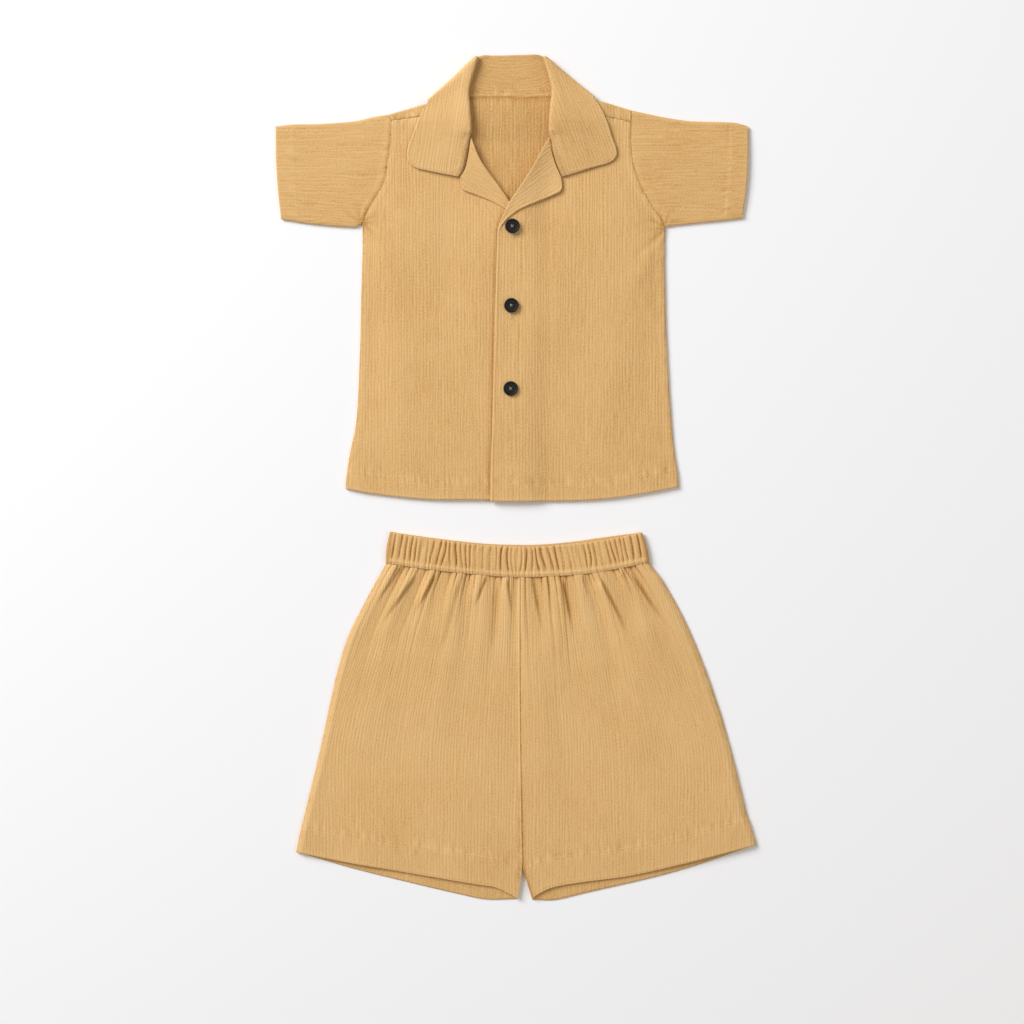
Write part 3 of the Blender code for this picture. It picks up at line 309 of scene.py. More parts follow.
def through(rows, steps):
    """Catmull-Rom values through the rows, read at row numbers that may be fractions."""
    rows = np.asarray(rows, dtype=float)
    padded = np.concatenate([2 * rows[:1] - rows[1:2], rows, 2 * rows[-1:] - rows[-2:-1]])
    first = np.minimum(np.asarray(steps).astype(int), len(rows) - 2)
    t = (steps - first).reshape((-1,) + (1,) * (rows.ndim - 1))
    a, b, c, d = (padded[first + k] for k in range(4))
    bend = (c - a) * t + (2 * a - 5 * b + 4 * c - d) * t**2 + (3 * b - a - 3 * c + d) * t**3
    return b + 0.5 * bend


def run(points):
    """Length along a row of points, from 0 to 1."""
    steps = np.linalg.norm(np.diff(points, axis=0), axis=1)
    length = np.concatenate([[0.0], np.cumsum(steps)])
    return length / length[-1]


def curve(points, fractions):
    """Smooth curve through the points, read at fractions of its length."""
    fine = through(points, np.linspace(0, len(points) - 1, 24 * (len(points) - 1) + 1))
    share = run(fine)
    return np.column_stack([np.interp(fractions, share, fine[:, k]) for k in range(fine.shape[1])])


def joined(*curves):
    """Curves that meet end to end, as one row of points."""
    return np.vstack([curves[0]] + [piece[1:] for piece in curves[1:]])


def patch(low, high, near, far):
    """Grid between four edges: each point is the blend of its row's ends and its column's
    ends, less the blend of the four corners, by length along the edges."""
    across = (run(low) + run(high))[None, :, None] / 2
    along = (run(near) + run(far))[:, None, None] / 2
    sides = (1 - across) * near[:, None] + across * far[:, None]
    ends = (1 - along) * low[None] + along * high[None]
    low_ends = (1 - across) * low[0] + across * low[-1]
    high_ends = (1 - across) * high[0] + across * high[-1]
    return sides + ends - (1 - along) * low_ends - along * high_ends


def beside_line(x, y, start_x, start_y, end_x, end_y):
    """Share of a line's length passed at each place, and the distance to the line's right."""
    run_x, run_y = end_x - start_x, end_y - start_y
    size = np.hypot(run_x, run_y)
    share = ((x - start_x) * run_x + (y - start_y) * run_y) / size**2
    return share, ((x - start_x) * run_y - (y - start_y) * run_x) / size


def fold_height(x, y, folds):
    """Height of soft ridges: a bell across each line that fades out at both ends."""
    height = np.zeros_like(x)
    for *line, width, rise in folds:
        share, away = beside_line(x, y, *line)
        fade = ramp(share, -0.15, 0.15) * (1 - ramp(share, 0.5, 1.1))
        height += rise * fade * np.exp(-(away / width) ** 2)
    return height


def steep_folds(x, y, folds):
    """Height and shade of folds that rise gently on their left and fall steeply into a crease
    on their line. The height is two half bells across the line, and the shade is 1 bell in
    the crease. Both fade out at the ends, and a wide fold falls softly, with little shade."""
    height, shade = np.zeros_like(x), np.zeros_like(x)
    for *line, width, rise in folds:
        share, away = beside_line(x, y, *line)
        fade = ramp(share, -0.1, 0.12) * (1 - ramp(share, 0.35, 1.1))
        far = min(0.9, max(0.3, width / 14))
        from_crest = away - 1.5 * far * width
        reach = width * np.where(from_crest < 0, far, 1.4)
        height += rise * fade * np.exp(-(from_crest / reach) ** 2)
        shade += rise * fade * min(1.0, (5.0 / width) ** 2) * np.exp(-(away / 1.7) ** 2)
    return height, shade


def back_level(x, y):
    """Middle of the shirt's back, raised where the collar's fall lies under it."""
    over_fall = ramp(x, -94, -80) * (1 - ramp(x, 72, 86)) * ramp(y, 284, 303)
    return CLOTH / 2 + FALL_LIFT * over_fall


def front_level(x, y):
    """Middle of the shirt's fronts: one layer above the back and fuller away from the seams."""
    full = ramp(x, -134, -84) * (1 - ramp(x, 80, 130))
    full *= ramp(y, -22, 40) * (1 - ramp(y, 200, 262))
    return back_level(x, y) + LAYER + EASE + FULLNESS * full + fold_height(x, y, SHIRT_FOLDS)


def left_front_level(x, y):
    """Middle of the left front, which laps over the right front and over its lapel."""
    lap = 1 - ramp(x, 12, 30)
    over_lapel = ramp(y, 204, 218) * (1 - ramp(x, 3, 24))
    over_hem = HEM_TURN * lap * (1 - ramp(y, 0, 14))
    return front_level(x, y) + (LAYER + 0.15) * (lap + over_lapel) + over_hem


def leaf_level(x, y):
    """Middle of the collar's leaf where it lies on the fronts."""
    return front_level(x, y) + LAYER + LEAF_EASE


def band_level():
    """Middle of the waistband's front layer."""
    return BAND_WALL * 1.5 + BAND_SLACK


def shorts_level(y):
    """Middle of the shorts' fronts: full over the legs, close at the hems, and rising to the
    waistband."""
    full = SHORTS_FULLNESS * ramp(y, -352, -290) * (1 - ramp(y, -140, -88))
    flat_front = CLOTH / 2 + LAYER + EASE
    at_band = (band_level() - flat_front) * ramp(y, -120, -80)
    return flat_front + full + at_band


# ---- Relief of the finished cloth. Much of it is also the cloth's tone: painted shade in its hollows and painted light on its ridges ----

def lattice(i, j, seed):
    """Repeatable value from 0 to 1 at whole-number places: the fraction of a large sine."""
    value = np.sin(i * 127.1 + j * 311.7 + seed * 74.7) * 43758.5453
    return value - np.floor(value)


def noise(x, y, seed):
    """Smooth value from -1 to 1: a smooth-step blend of the four lattice values around."""
    i, j = np.floor(x), np.floor(y)
    u, v = x - i, y - j
    u, v = u * u * (3 - 2 * u), v * v * (3 - 2 * v)
    low = mix(lattice(i, j, seed), lattice(i + 1, j, seed), u)
    high = mix(lattice(i, j + 1, seed), lattice(i + 1, j + 1, seed), u)
    return 2 * mix(low, high, v) - 1


def wander(across, along, seed, sway=1.0):
    """Place across the cloth, moved by the wandering of its ribs: each rib fills one step of it."""
    slow = 0.5 * noise(across / 9, along / 110, seed)
    return across + RIB * (slow + 0.22 * sway * noise(across / 3.2, along / 22, seed + 1))


def ribs(place, along, seed):
    """Crinkle of the gauze: a wave with its valleys at whole steps of the wandering place,
    whose depth comes and goes."""
    depth = 0.75 + 0.45 * noise(place / 5.0, along / 40, seed + 3)
    return depth * (-0.75 * np.cos(2 * np.pi * place / RIB) - 0.25)


def rounded(distance, radius=0.9, drop=0.45):
    """Quarter-round fall of the top at an edge."""
    t = np.clip(1 - distance / radius, 0, 1)
    return -drop * (1 - np.sqrt(1 - t * t))


def bell(distance, at, width):
    """1 at a distance, fading to 0 on both sides of it."""
    return np.exp(-((distance - at) / width) ** 2)


def seam_relief(distance, along, seed, height=0.2):
    """A sewn seam: a dip at the edge, the allowance's ridge beside it, and puckers across it."""
    allowance = 0.16 * bell(distance, 4.2, 2.4) - 0.22 * bell(distance, 0.0, 1.1)
    puckers = height * noise(along / 2.6, distance / 9, seed) * bell(distance, 0.0, 5.0)
    return allowance + puckers


def hem_turn(distance, depth):
    """Thickness that a turned hem adds, up to its stitching."""
    return HEM_TURN * (1 - ramp(distance, depth - 0.4, depth + 0.9))


def hem_relief(distance, along, depth, seed, height=0.22, sunk=0.2):
    """A groove along a hem's stitching, puckers on both sides, and a pressed edge."""
    groove = -sunk * bell(distance, depth - HEM_STITCH, 0.8)
    uneven = noise(along / 2.4 + distance / 14, distance / 8, seed)
    puckers = height * uneven * bell(distance, depth, 5.5)
    return groove + puckers + 0.10 * bell(distance, 1.6, 1.2)


def underarm_pucker(x, y, corner):
    """Creases that spread from an underarm, waves of the angle around it that fade outwards,
    and a hollow at the corner itself."""
    away = np.hypot(x - corner[0], y - corner[1])
    turn = np.arctan2(y - corner[1], x - corner[0])
    crease = 0.5 + 0.5 * np.cos(9.0 * turn + 0.12 * away)
    spread = crease * bell(away, 0.0, 15.0) * ramp(away, 0.5, 3.0)
    return -0.5 * spread - 0.8 * bell(away, 0.0, 5.0)


def edge_distances(grid):
    """Distance of every point to the first and last column and the first and last row."""
    return (np.linalg.norm(grid - grid[:, :1], axis=2), np.linalg.norm(grid - grid[:, -1:], axis=2),
            np.linalg.norm(grid - grid[:1], axis=2), np.linalg.norm(grid - grid[-1:], axis=2))


def cloth_map(place, along, part):
    """Cloth map of a piece, moved by whole ribs so that the pieces don't share one weave."""
    return np.stack([place + 100 * RIB * part, along], axis=-1)


def closer_ends(count, length):
    """One fraction more than count: four within 1.1 mm of each end, where edges are rounded,
    and even ones between."""
    near = np.array([0.0, 0.25, 0.6, 1.1]) / length
    inner = np.linspace(1.8 / length, 1 - 1.8 / length, count - 7)
    return np.concatenate([near, inner, 1 - near[::-1]])


# ---- Meshes ----

def new_mesh(name, points, groups, cloth=None, relief=None):
    """Mesh from points in millimetres and arrays of faces, each array with one corner count."""
    mesh = bpy.data.meshes.new(name)
    mesh.vertices.add(len(points))
    mesh.vertices.foreach_set("co", (np.asarray(points) * MM).astype(np.float32).ravel())
    corners = np.concatenate([np.asarray(group).ravel() for group in groups]).astype(np.int32)
    sizes = np.concatenate([np.full(len(group), np.shape(group)[1]) for group in groups])
    starts = np.concatenate([[0], np.cumsum(sizes)[:-1]]).astype(np.int32)
    mesh.loops.add(len(corners))
    mesh.loops.foreach_set("vertex_index", corners)
    mesh.polygons.add(len(sizes))
    mesh.polygons.foreach_set("loop_start", starts)
    mesh.update(calc_edges=True)
    if cloth is not None:
        layer = mesh.uv_layers.new(name="cloth")
        layer.data.foreach_set("uv", (cloth[corners] / 100.0).astype(np.float32).ravel())
    if relief is not None:
        values = mesh.attributes.new("relief", "FLOAT", "POINT")
        values.data.foreach_set("value", np.asarray(relief).astype(np.float32).ravel())
    mesh.validate()
    mesh.shade_smooth()
    mesh.set_sharp_from_angle(angle=np.radians(62))
    made = bpy.data.objects.new(name, mesh)
    bpy.context.scene.collection.objects.link(made)
    return made


def strip(first, second):
    """Four-sided faces between two equally long rows of point numbers."""
    corners = [first[..., :-1], first[..., 1:], second[..., 1:], second[..., :-1]]
    return np.stack(corners, axis=-1).reshape(-1, 4)


def numbered(rows, columns, ring=False):
    """Point numbers of a grid; a ring's rows come back to their first point."""
    number = np.arange(rows * columns).reshape(rows, columns)
    return np.concatenate([number, number[:, :1]], axis=1) if ring else number


def panel_wall(name, top, under, cloth, relief, stride=6):
    """Closed wall of a laid panel: a fine grid on top, every few points of it underneath, and
    around them many-sided faces that join each coarse edge to its fine points."""
    turn = np.cross(top[1, 1, :2] - top[0, 0, :2], top[1, 0, :2] - top[0, 0, :2])
    if turn < 0:
        top, under, cloth, relief = (part[:, ::-1] for part in (top, under, cloth, relief))
    low = under[::stride, ::stride]
    number = numbered(*top.shape[:2])
    below = number.size + numbered(*low.shape[:2])
    faces = [strip(number[:-1], number[1:]), strip(below[1:], below[:-1])]
    rims = ((number[0], below[0], 1), (number[-1], below[-1], -1),
            (number[:, 0], below[:, 0], -1), (number[:, -1], below[:, -1], 1))
    for upper, lower, way in rims:
        spans = np.arange(len(lower) - 1)[:, None] * stride + np.arange(stride + 1)[None, :]
        around = np.concatenate([upper[spans][:, ::-1], lower[:-1, None], lower[1:, None]], axis=1)
        faces.append(around if way > 0 else around[:, ::-1])
    points = np.concatenate([top.reshape(-1, 3), low.reshape(-1, 3)])
    cloth = np.concatenate([cloth.reshape(-1, 2), cloth[::stride, ::stride].reshape(-1, 2)])
    relief = np.concatenate([relief.ravel(), np.zeros(below.size)])
    return new_mesh(name, points, faces, cloth, relief)


def panel_sides(plan, level, relief, floor, reach=6):
    """Top and underside of a laid panel. The top is half a wall over its middle level plus the
    relief, and clear of what lies under it. The underside is half a wall below the level, and
    lower where a groove within reach is deeper, so that the wall never passes through itself."""
    height = np.maximum(level + CLOTH / 2 + relief, floor + 0.35)
    low = height
    for _ in range(reach):
        around = np.pad(low, 1, mode="edge")
        before_after = np.minimum(around[:-2, 1:-1], around[2:, 1:-1])
        low = np.minimum(before_after, np.minimum(around[1:-1, :-2], around[1:-1, 2:]))
    below = np.maximum(np.minimum(level - CLOTH / 2, low - 0.25), floor + 0.1)
    return np.dstack([plan, height]), np.dstack([plan, below])


def grid_wall(name, outer, inner, cloth, relief, ring=False):
    """Closed wall between two equal grids; a ring joins its last column to its first."""
    rows, columns = outer.shape[:2]
    top = numbered(rows, columns, ring)
    under = top + rows * columns
    faces = [strip(top[:-1], top[1:]), strip(under[1:], under[:-1]),
             strip(under[0], top[0]), strip(top[-1], under[-1])]
    if not ring:
        faces += [strip(top[:, 0], under[:, 0]), strip(under[:, -1], top[:, -1])]
    points = np.concatenate([outer.reshape(-1, 3), inner.reshape(-1, 3)])
    cloth = np.tile(cloth.reshape(-1, 2), (2, 1))
    relief = np.concatenate([relief.ravel(), np.zeros(rows * columns)])
    return new_mesh(name, points, faces, cloth, relief)


def directions(grid, axis):
    """Unit directions through the points of a grid, the sum of those before and after each."""
    steps = np.diff(grid, axis=axis)
    steps /= np.maximum(np.linalg.norm(steps, axis=2), 1e-9)[:, :, None]
    first = steps[:1] if axis == 0 else steps[:, :1]
    last = steps[-1:] if axis == 0 else steps[:, -1:]
    return np.concatenate([first, steps], axis=axis) + np.concatenate([steps, last], axis=axis)


def normals(grid):
    """Unit normals of a grid: columns' direction crossed with rows' direction."""
    normal = np.cross(directions(grid, 1), directions(grid, 0))
    return normal / np.maximum(np.linalg.norm(normal, axis=2), 1e-9)[:, :, None]


def flat_ring(over, under, high_end, low_end, steps=6):
    """Flattened ring: the upper layer, half an ellipse round one end, the lower layer, and
    half an ellipse back. Each ellipse passes through its end point."""
    turn = np.linspace(0, np.pi, steps + 2)[1:-1]
    rings = [over]
    for start, stop, end, after in ((over[:, -1], under[:, 0], high_end, [under]),
                                    (under[:, -1], over[:, 0], low_end, [])):
        centre = (start + stop) / 2
        half = (start - stop)[:, None] / 2 * np.cos(turn)[None, :, None]
        reach = (end - centre)[:, None] * np.sin(turn)[None, :, None]
        rings += [centre[:, None] + half + reach] + after
    return np.concatenate(rings, axis=1)


def flat_tube(over, heights, under, low_end, high_end, across, level, wall):
    """Outer and inner side of a flattened tube of cloth. Its upper layer has a height on each
    side, its lower layer lies on the surface, and its ends at a level are half round. On the
    inner side the lower layer is higher and the ends lie further in, both by the wall."""
    sides = []
    for height, inward in zip(heights, (0.0, wall)):
        upper = np.dstack([over, height])
        lower = np.dstack([under, np.full(under.shape[:2], inward)])
        high = np.column_stack([high_end - inward * across, level])
        low = np.column_stack([low_end + inward * across, level])
        sides.append(flat_ring(upper, lower, high, low))
    return sides


def on_grid(grid, rows, columns):
    """Points of a grid at fractional rows and columns, blended from the four around each."""
    i = np.clip(rows.astype(int), 0, grid.shape[0] - 2)
    j = np.clip(columns.astype(int), 0, grid.shape[1] - 2)
    u, v = (rows - i)[:, None], (columns - j)[:, None]
    near = mix(grid[i, j], grid[i + 1, j], u)
    far = mix(grid[i, j + 1], grid[i + 1, j + 1], u)
    return mix(near, far, v)


def crossing(distance, depth):
    """Fractional row at which each column's distance passes a depth."""
    after = np.clip(np.argmax(distance > depth, axis=0), 1, None)
    columns = np.arange(distance.shape[1])
    low, high = distance[after - 1, columns], distance[after, columns]
    return after - 1 + (depth - low) / np.maximum(high - low, 1e-6)


def stitches(paths, length, pause, radius, lift=0.12):
    """Threads of a stitch line: along each stretch of a path a slender closed bar of six
    sides, thick in its middle, whose ends dip into the cloth. Returns points and faces."""
    sides = np.linspace(0, 2 * np.pi, 6, endpoint=False)
    stations = np.linspace(0, 1, 7)
    girth = np.sqrt(np.maximum(1 - (2 * stations - 1) ** 4, 0))
    points, quads, tips = [], [], []
    count = 0
    for path in paths:
        steps = np.linalg.norm(np.diff(path, axis=0), axis=1)
        total = np.concatenate([[0.0], np.cumsum(steps)])
        starts = np.arange(0.5 * pause, total[-1] - length, length + pause)
        if not len(starts):
            continue
        where = starts[:, None] + stations[None, :] * length
        middle = np.stack([np.interp(where, total, path[:, k]) for k in range(3)], axis=-1)
        along = middle[:, -1] - middle[:, 0]
        along /= np.linalg.norm(along, axis=1)[:, None]
        side = np.cross(along, [0.0, 0.0, 1.0])
        side /= np.linalg.norm(side, axis=1)[:, None]
        up = np.cross(side, along)
        middle = middle + up[:, None] * (lift - 0.4 * (2 * stations - 1) ** 4)[None, :, None]
        round_side = side[:, None, None] * np.cos(sides)[None, None, :, None]
        round_up = up[:, None, None] * np.sin(sides)[None, None, :, None]
        wide = radius * girth[None, 1:-1, None, None]
        rings = middle[:, 1:-1, None] + wide * (round_side + 0.8 * round_up)
        each = rings.shape[1] * len(sides) + 2
        round_rings = rings.reshape(len(starts), -1, 3)
        block = np.concatenate([round_rings, middle[:, :1], middle[:, -1:]], axis=1)
        base = count + each * np.arange(len(starts))
        ring = numbered(rings.shape[1], len(sides), ring=True)
        quads.append((base[:, None, None] + strip(ring[:-1], ring[1:])[None]).reshape(-1, 4))
        first = np.stack([ring[0, 1:], ring[0, :-1], np.full(len(sides), each - 2)], axis=-1)
        last = np.stack([ring[-1, :-1], ring[-1, 1:], np.full(len(sides), each - 1)], axis=-1)
        tips.append((base[:, None, None] + np.concatenate([first, last])[None]).reshape(-1, 3))
        points.append(block.reshape(-1, 3))
        count += each * len(starts)
    return np.concatenate(points), [np.concatenate(quads), np.concatenate(tips)]


# ---- Materials ----

def node(tree, kind, place, **values):
    """New node with its own settings and input values, by name."""
    made = tree.nodes.new(kind)
    made.location = place
    for key, value in values.items():
        if key.startswith("in_"):
            made.inputs[int(key[3:])].default_value = value
        else:
            setattr(made, key, value)
    return made


def group_tree(name, inputs, outputs):
    """New shader node group with named sockets, and its input and output nodes."""
    tree = bpy.data.node_groups.new(name, "ShaderNodeTree")
    for label, kind, value in inputs:
        socket = tree.interface.new_socket(name=label, in_out="INPUT", socket_type=kind)
        if value is not None:
            socket.default_value = value
    for label, kind in outputs:
        tree.interface.new_socket(name=label, in_out="OUTPUT", socket_type=kind)
    return tree, tree.nodes.new("NodeGroupInput"), tree.nodes.new("NodeGroupOutput")


def maths(tree, operation, place, *inputs, **values):
    """Maths node whose inputs, in order, are linked from nodes or set to numbers."""
    made = node(tree, "ShaderNodeMath", place, operation=operation, **values)
    for number, source in enumerate(inputs):
        if hasattr(source, "outputs"):
            tree.links.new(source.outputs[0], made.inputs[number])
        else:
            made.inputs[number].default_value = source
    return made


def noise_node(tree, place, scale, detail, **values):
    """Noise texture of one scale and detail."""
    made = node(tree, "ShaderNodeTexNoise", place, **values)
    made.inputs["Scale"].default_value = scale
    made.inputs["Detail"].default_value = detail
    return made


def link_bump(tree, shader, height, strength, distance):
    """Bump of a shader from a height, as deep as a distance in metres."""
    bump = node(tree, "ShaderNodeBump", (-300, -300))
    bump.inputs["Strength"].default_value = strength
    bump.inputs["Distance"].default_value = distance
    tree.links.new(height, bump.inputs["Height"])
    tree.links.new(bump.outputs[0], shader.inputs["Normal"])


def speckle(tree, shader, colour, scale, detail, dark, pale):
    """Colour between a darker and a paler one by a noise in the piece's own coordinates.
    Returns the noise."""
    place = node(tree, "ShaderNodeTexCoord", (-900, 0))
    spots = noise_node(tree, (-650, 0), scale, detail)
    tree.links.new(place.outputs["Object"], spots.inputs["Vector"])
    shade = node(tree, "ShaderNodeMix", (-350, 100), data_type="RGBA")
    shade.inputs[6].default_value = (*[dark * value for value in colour], 1.0)
    shade.inputs[7].default_value = (*[min(1.0, pale * value) for value in colour], 1.0)
    tree.links.new(spots.outputs[0], shade.inputs[0])
    tree.links.new(shade.outputs[2], shader.inputs["Base Color"])
    return spots


def gauze_group():
    """Weave of gauze: ribs, fine threads along and across, grain, and long uneven slubs. A rib
    is the size of a sine with its valley at each whole step across the cloth's map, and its
    depth follows the slubs. Each noise is stretched by its own scale, and centred on 0."""
    if "gauze weave" in bpy.data.node_groups:
        return bpy.data.node_groups["gauze weave"]
    shown = ("Rib", "Thread", "Grain", "Slub", "Cloud")
    tree, start, end = group_tree("gauze weave", [("Cloth", "NodeSocketVector", None)],
                                  [(label, "NodeSocketFloat") for label in ("Height", *shown)])
    link = tree.links.new
    made = {}
    spots_table = (("Thread", (88.0, 7.0, 1.0), 2.0), ("Weft", (26.0, 190.0, 1.0), 1.0),
                   ("Grain", (80.0, 66.0, 1.0), 2.0), ("Slub", (34.0, 1.8, 1.0), 2.0),
                   ("Cloud", (2.2, 1.6, 1.0), 2.0))
    for row, (label, scale, detail) in enumerate(spots_table):
        height = 400 - 260 * row
        place = node(tree, "ShaderNodeMapping", (-700, height))
        place.inputs["Scale"].default_value = scale
        spots = noise_node(tree, (-500, height), 1.0, detail, noise_dimensions="2D")
        made[label] = node(tree, "ShaderNodeMapRange", (-300, height), clamp=False,
                           in_1=0.25, in_2=0.75, in_3=-1.0, in_4=1.0)
        link(start.outputs["Cloth"], place.inputs["Vector"])
        link(place.outputs[0], spots.inputs["Vector"])
        link(spots.outputs[0], made[label].inputs["Value"])
        if label in shown:
            link(made[label].outputs[0], end.inputs[label])
    parts = node(tree, "ShaderNodeSeparateXYZ", (-700, 700))
    link(start.outputs["Cloth"], parts.inputs[0])
    turn = maths(tree, "MULTIPLY", (-520, 700), parts, 100 * np.pi / RIB)
    swing = maths(tree, "SINE", (-380, 700), turn)
    folded = maths(tree, "ABSOLUTE", (-240, 700), swing)
    crest = maths(tree, "POWER", (-100, 700), folded, 0.6)
    level = node(tree, "ShaderNodeMapRange", (40, 700), in_1=0.0, in_2=1.0, in_3=-1.0, in_4=0.4)
    depth = node(tree, "ShaderNodeMapRange", (40, 520), in_1=-1.0, in_2=1.0, in_3=0.0, in_4=1.5)
    link(crest.outputs[0], level.inputs[0])
    link(made["Slub"].outputs[0], depth.inputs[0])
    rib = maths(tree, "MULTIPLY", (220, 620), level, depth)
    link(rib.outputs[0], end.inputs["Rib"])
    fine = maths(tree, "MULTIPLY_ADD", (-240, 420), made["Thread"], 0.5, rib)
    across = maths(tree, "MULTIPLY_ADD", (-80, 300), made["Weft"], 0.3, fine)
    grainy = maths(tree, "MULTIPLY_ADD", (100, 200), made["Grain"], 0.35, across)
    link(grainy.outputs[0], end.inputs["Height"])
    return tree


def tone_and_shade_group():
    """Colour of the cloth with painted shade and light. A tone is the weighted sum of relief, ribs,
    threads, grain, slubs and clouds: below 0 the colour goes to the deep one, above 0 to the pale
    one. From relief and ribs the tone is painted shade in hollows and painted light on ridges; from
    threads, grain, slubs and clouds it is the cloth's own uneven colour."""
    if "cloth tone and painted shade" in bpy.data.node_groups:
        return bpy.data.node_groups["cloth tone and painted shade"]
    weights = (("Relief", 1.1), ("Rib", 0.13), ("Thread", 0.2), ("Grain", 0.3), ("Slub", 0.1),
               ("Cloud", 0.12))
    inputs = [(label, "NodeSocketColor", None) for label in ("Colour", "Deep", "Pale")]
    inputs += [(label, "NodeSocketFloat", 0.0) for label, _ in weights]
    tree, start, end = group_tree("cloth tone and painted shade", inputs, [("Colour", "NodeSocketColor")])
    link = tree.links.new
    tone = 0.0
    for row, (label, weight) in enumerate(weights):
        place = (-500 + 130 * row, 200 - 120 * row)
        part = maths(tree, "MULTIPLY_ADD", place, 0.0, weight, tone)
        link(start.outputs[label], part.inputs[0])
        tone = part
    paler = maths(tree, "MULTIPLY", (250, 100), tone, 1.0, use_clamp=True)
    deeper = maths(tree, "MULTIPLY", (250, -100), tone, -1.0, use_clamp=True)
    first = node(tree, "ShaderNodeMix", (450, 100), data_type="RGBA")
    second = node(tree, "ShaderNodeMix", (650, 0), data_type="RGBA")
    link(paler.outputs[0], first.inputs[0])
    link(start.outputs["Colour"], first.inputs[6])
    link(start.outputs["Pale"], first.inputs[7])
    link(deeper.outputs[0], second.inputs[0])
    link(first.outputs[2], second.inputs[6])
    link(start.outputs["Deep"], second.inputs[7])
    link(second.outputs[2], end.inputs["Colour"])
    return tree


def new_material(name):
    """Material with its Principled shader and output."""
    made = bpy.data.materials.new(name)
    made.use_nodes = True
    return made, made.node_tree, made.node_tree.nodes["Principled BSDF"]


def gauze_material(colours):
    """Matt crinkled cotton gauze, with its weave as bump and a soft sheen."""
    if "crinkled_gauze" in bpy.data.materials:
        return bpy.data.materials["crinkled_gauze"]
    made, tree, shader = new_material("crinkled_gauze")
    link = tree.links.new
    cloth = node(tree, "ShaderNodeUVMap", (-1100, 0), uv_map="cloth")
    relief = node(tree, "ShaderNodeAttribute", (-1100, -250), attribute_name="relief")
    weave = node(tree, "ShaderNodeGroup", (-850, 0), node_tree=gauze_group())
    tone_and_shade = node(tree, "ShaderNodeGroup", (-550, 100), node_tree=tone_and_shade_group())
    for label, colour in (("Colour", colours.gauze), ("Deep", colours.gauze_deep),
                          ("Pale", colours.gauze_pale)):
        tone_and_shade.inputs[label].default_value = (*colour, 1.0)
    link(cloth.outputs[0], weave.inputs["Cloth"])
    link(relief.outputs["Fac"], tone_and_shade.inputs["Relief"])
    for label in ("Rib", "Thread", "Grain", "Slub", "Cloud"):
        link(weave.outputs[label], tone_and_shade.inputs[label])
    link(tone_and_shade.outputs[0], shader.inputs["Base Color"])
    rough = node(tree, "ShaderNodeMapRange", (-550, -200),
                 in_1=-1.0, in_2=1.0, in_3=0.86, in_4=0.97)
    link(weave.outputs["Height"], rough.inputs["Value"])
    link(rough.outputs[0], shader.inputs["Roughness"])
    link_bump(tree, shader, weave.outputs["Height"], 0.8, 0.00011)
    shader.inputs["Sheen Weight"].default_value = 0.06
    shader.inputs["Sheen Roughness"].default_value = 0.5
    shader.inputs["Specular IOR Level"].default_value = 0.15
    return made


def thread_material(name, colour):
    """Twisted sewing thread: its colour, a little uneven, with the twist as bump."""
    if name in bpy.data.materials:
        return bpy.data.materials[name]
    made, tree, shader = new_material(name)
    twist = speckle(tree, shader, colour, scale=4200.0, detail=1.0, dark=0.82, pale=1.12)
    link_bump(tree, shader, twist.outputs[0], 0.5, 0.00006)
    shader.inputs["Roughness"].default_value = 0.75
    shader.inputs["Sheen Weight"].default_value = 0.1
    return made


def button_material(colour):
    """Near-black moulded button: faint cloudy variation and a satin finish."""
    if "black_button" in bpy.data.materials:
        return bpy.data.materials["black_button"]
    made, tree, shader = new_material("black_button")
    cloud = speckle(tree, shader, colour, scale=320.0, detail=3.0, dark=0.7, pale=1.5)
    rough = node(tree, "ShaderNodeMapRange", (-350, -150),
                 in_1=0.3, in_2=0.7, in_3=0.46, in_4=0.6)
    tree.links.new(cloud.outputs[0], rough.inputs["Value"])
    tree.links.new(rough.outputs[0], shader.inputs["Roughness"])
    shader.inputs["Specular IOR Level"].default_value = 0.25
    return made


# ---- Finishing a piece ----

def finish_cloth(piece, name):
    """Gives a cloth piece its gauze, hides the solid whose place it takes, and attaches it to the
    root.
    """
    piece.name = name + "_gauze"
    piece.data.materials.append(gauze_material(bpy.context.scene.pyjama_colours))
    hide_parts(name)
    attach(piece, "root")


def add_stitching(name, paths, length=None, pause=None, radius=None, lift=0.12, thread=None):
    """One object with all the stitches of a piece. A thread is a material's name and colour."""
    sizes = bpy.context.scene.pyjama_sizes
    points, faces = stitches(paths, length or sizes.stitch, pause or sizes.stitch_pause,
                             radius or sizes.thread, lift)
    piece = new_mesh(name, points, faces)
    thread = thread or ("gauze_thread", tuple(bpy.context.scene.pyjama_colours.thread))
    piece.data.materials.append(thread_material(*thread))
    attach(piece, "root")
    return piece


def hem_stitch_line(top, distance, depth, margin=3):
    """Points along a panel's first edge, just inside a depth from it."""
    columns = np.arange(float(margin), top.shape[1] - margin)
    return on_grid(top, crossing(distance, depth - HEM_STITCH)[margin:-margin], columns)


# ---- Shirt ----

def front_grid(side, armhole, hem, edge, roll, neck, seam):
    """Plan of one front, from its side to its edge and from its hem to the shoulder seam, and
    the row at which its armhole starts."""
    rows = closer_ends(133, 230.0)[:-3]
    rows[-1] = 1.0
    part = 10
    outer = joined(curve(side, rows), curve(armhole, np.linspace(0, 1, 7 * part + 1)))
    inner = joined(curve(edge, rows), curve(roll, np.linspace(0, 1, 5 * part + 1)),
                   curve(neck, np.linspace(0, 1, 2 * part + 1)))
    share = closer_ends(235, 150.0)
    low, high = curve(hem, share), curve(seam, share)
    outer[0], inner[0] = low[0], low[-1]
    outer[-1], inner[-1] = high[0], high[-1]
    return patch(low, high, outer, inner), len(rows)


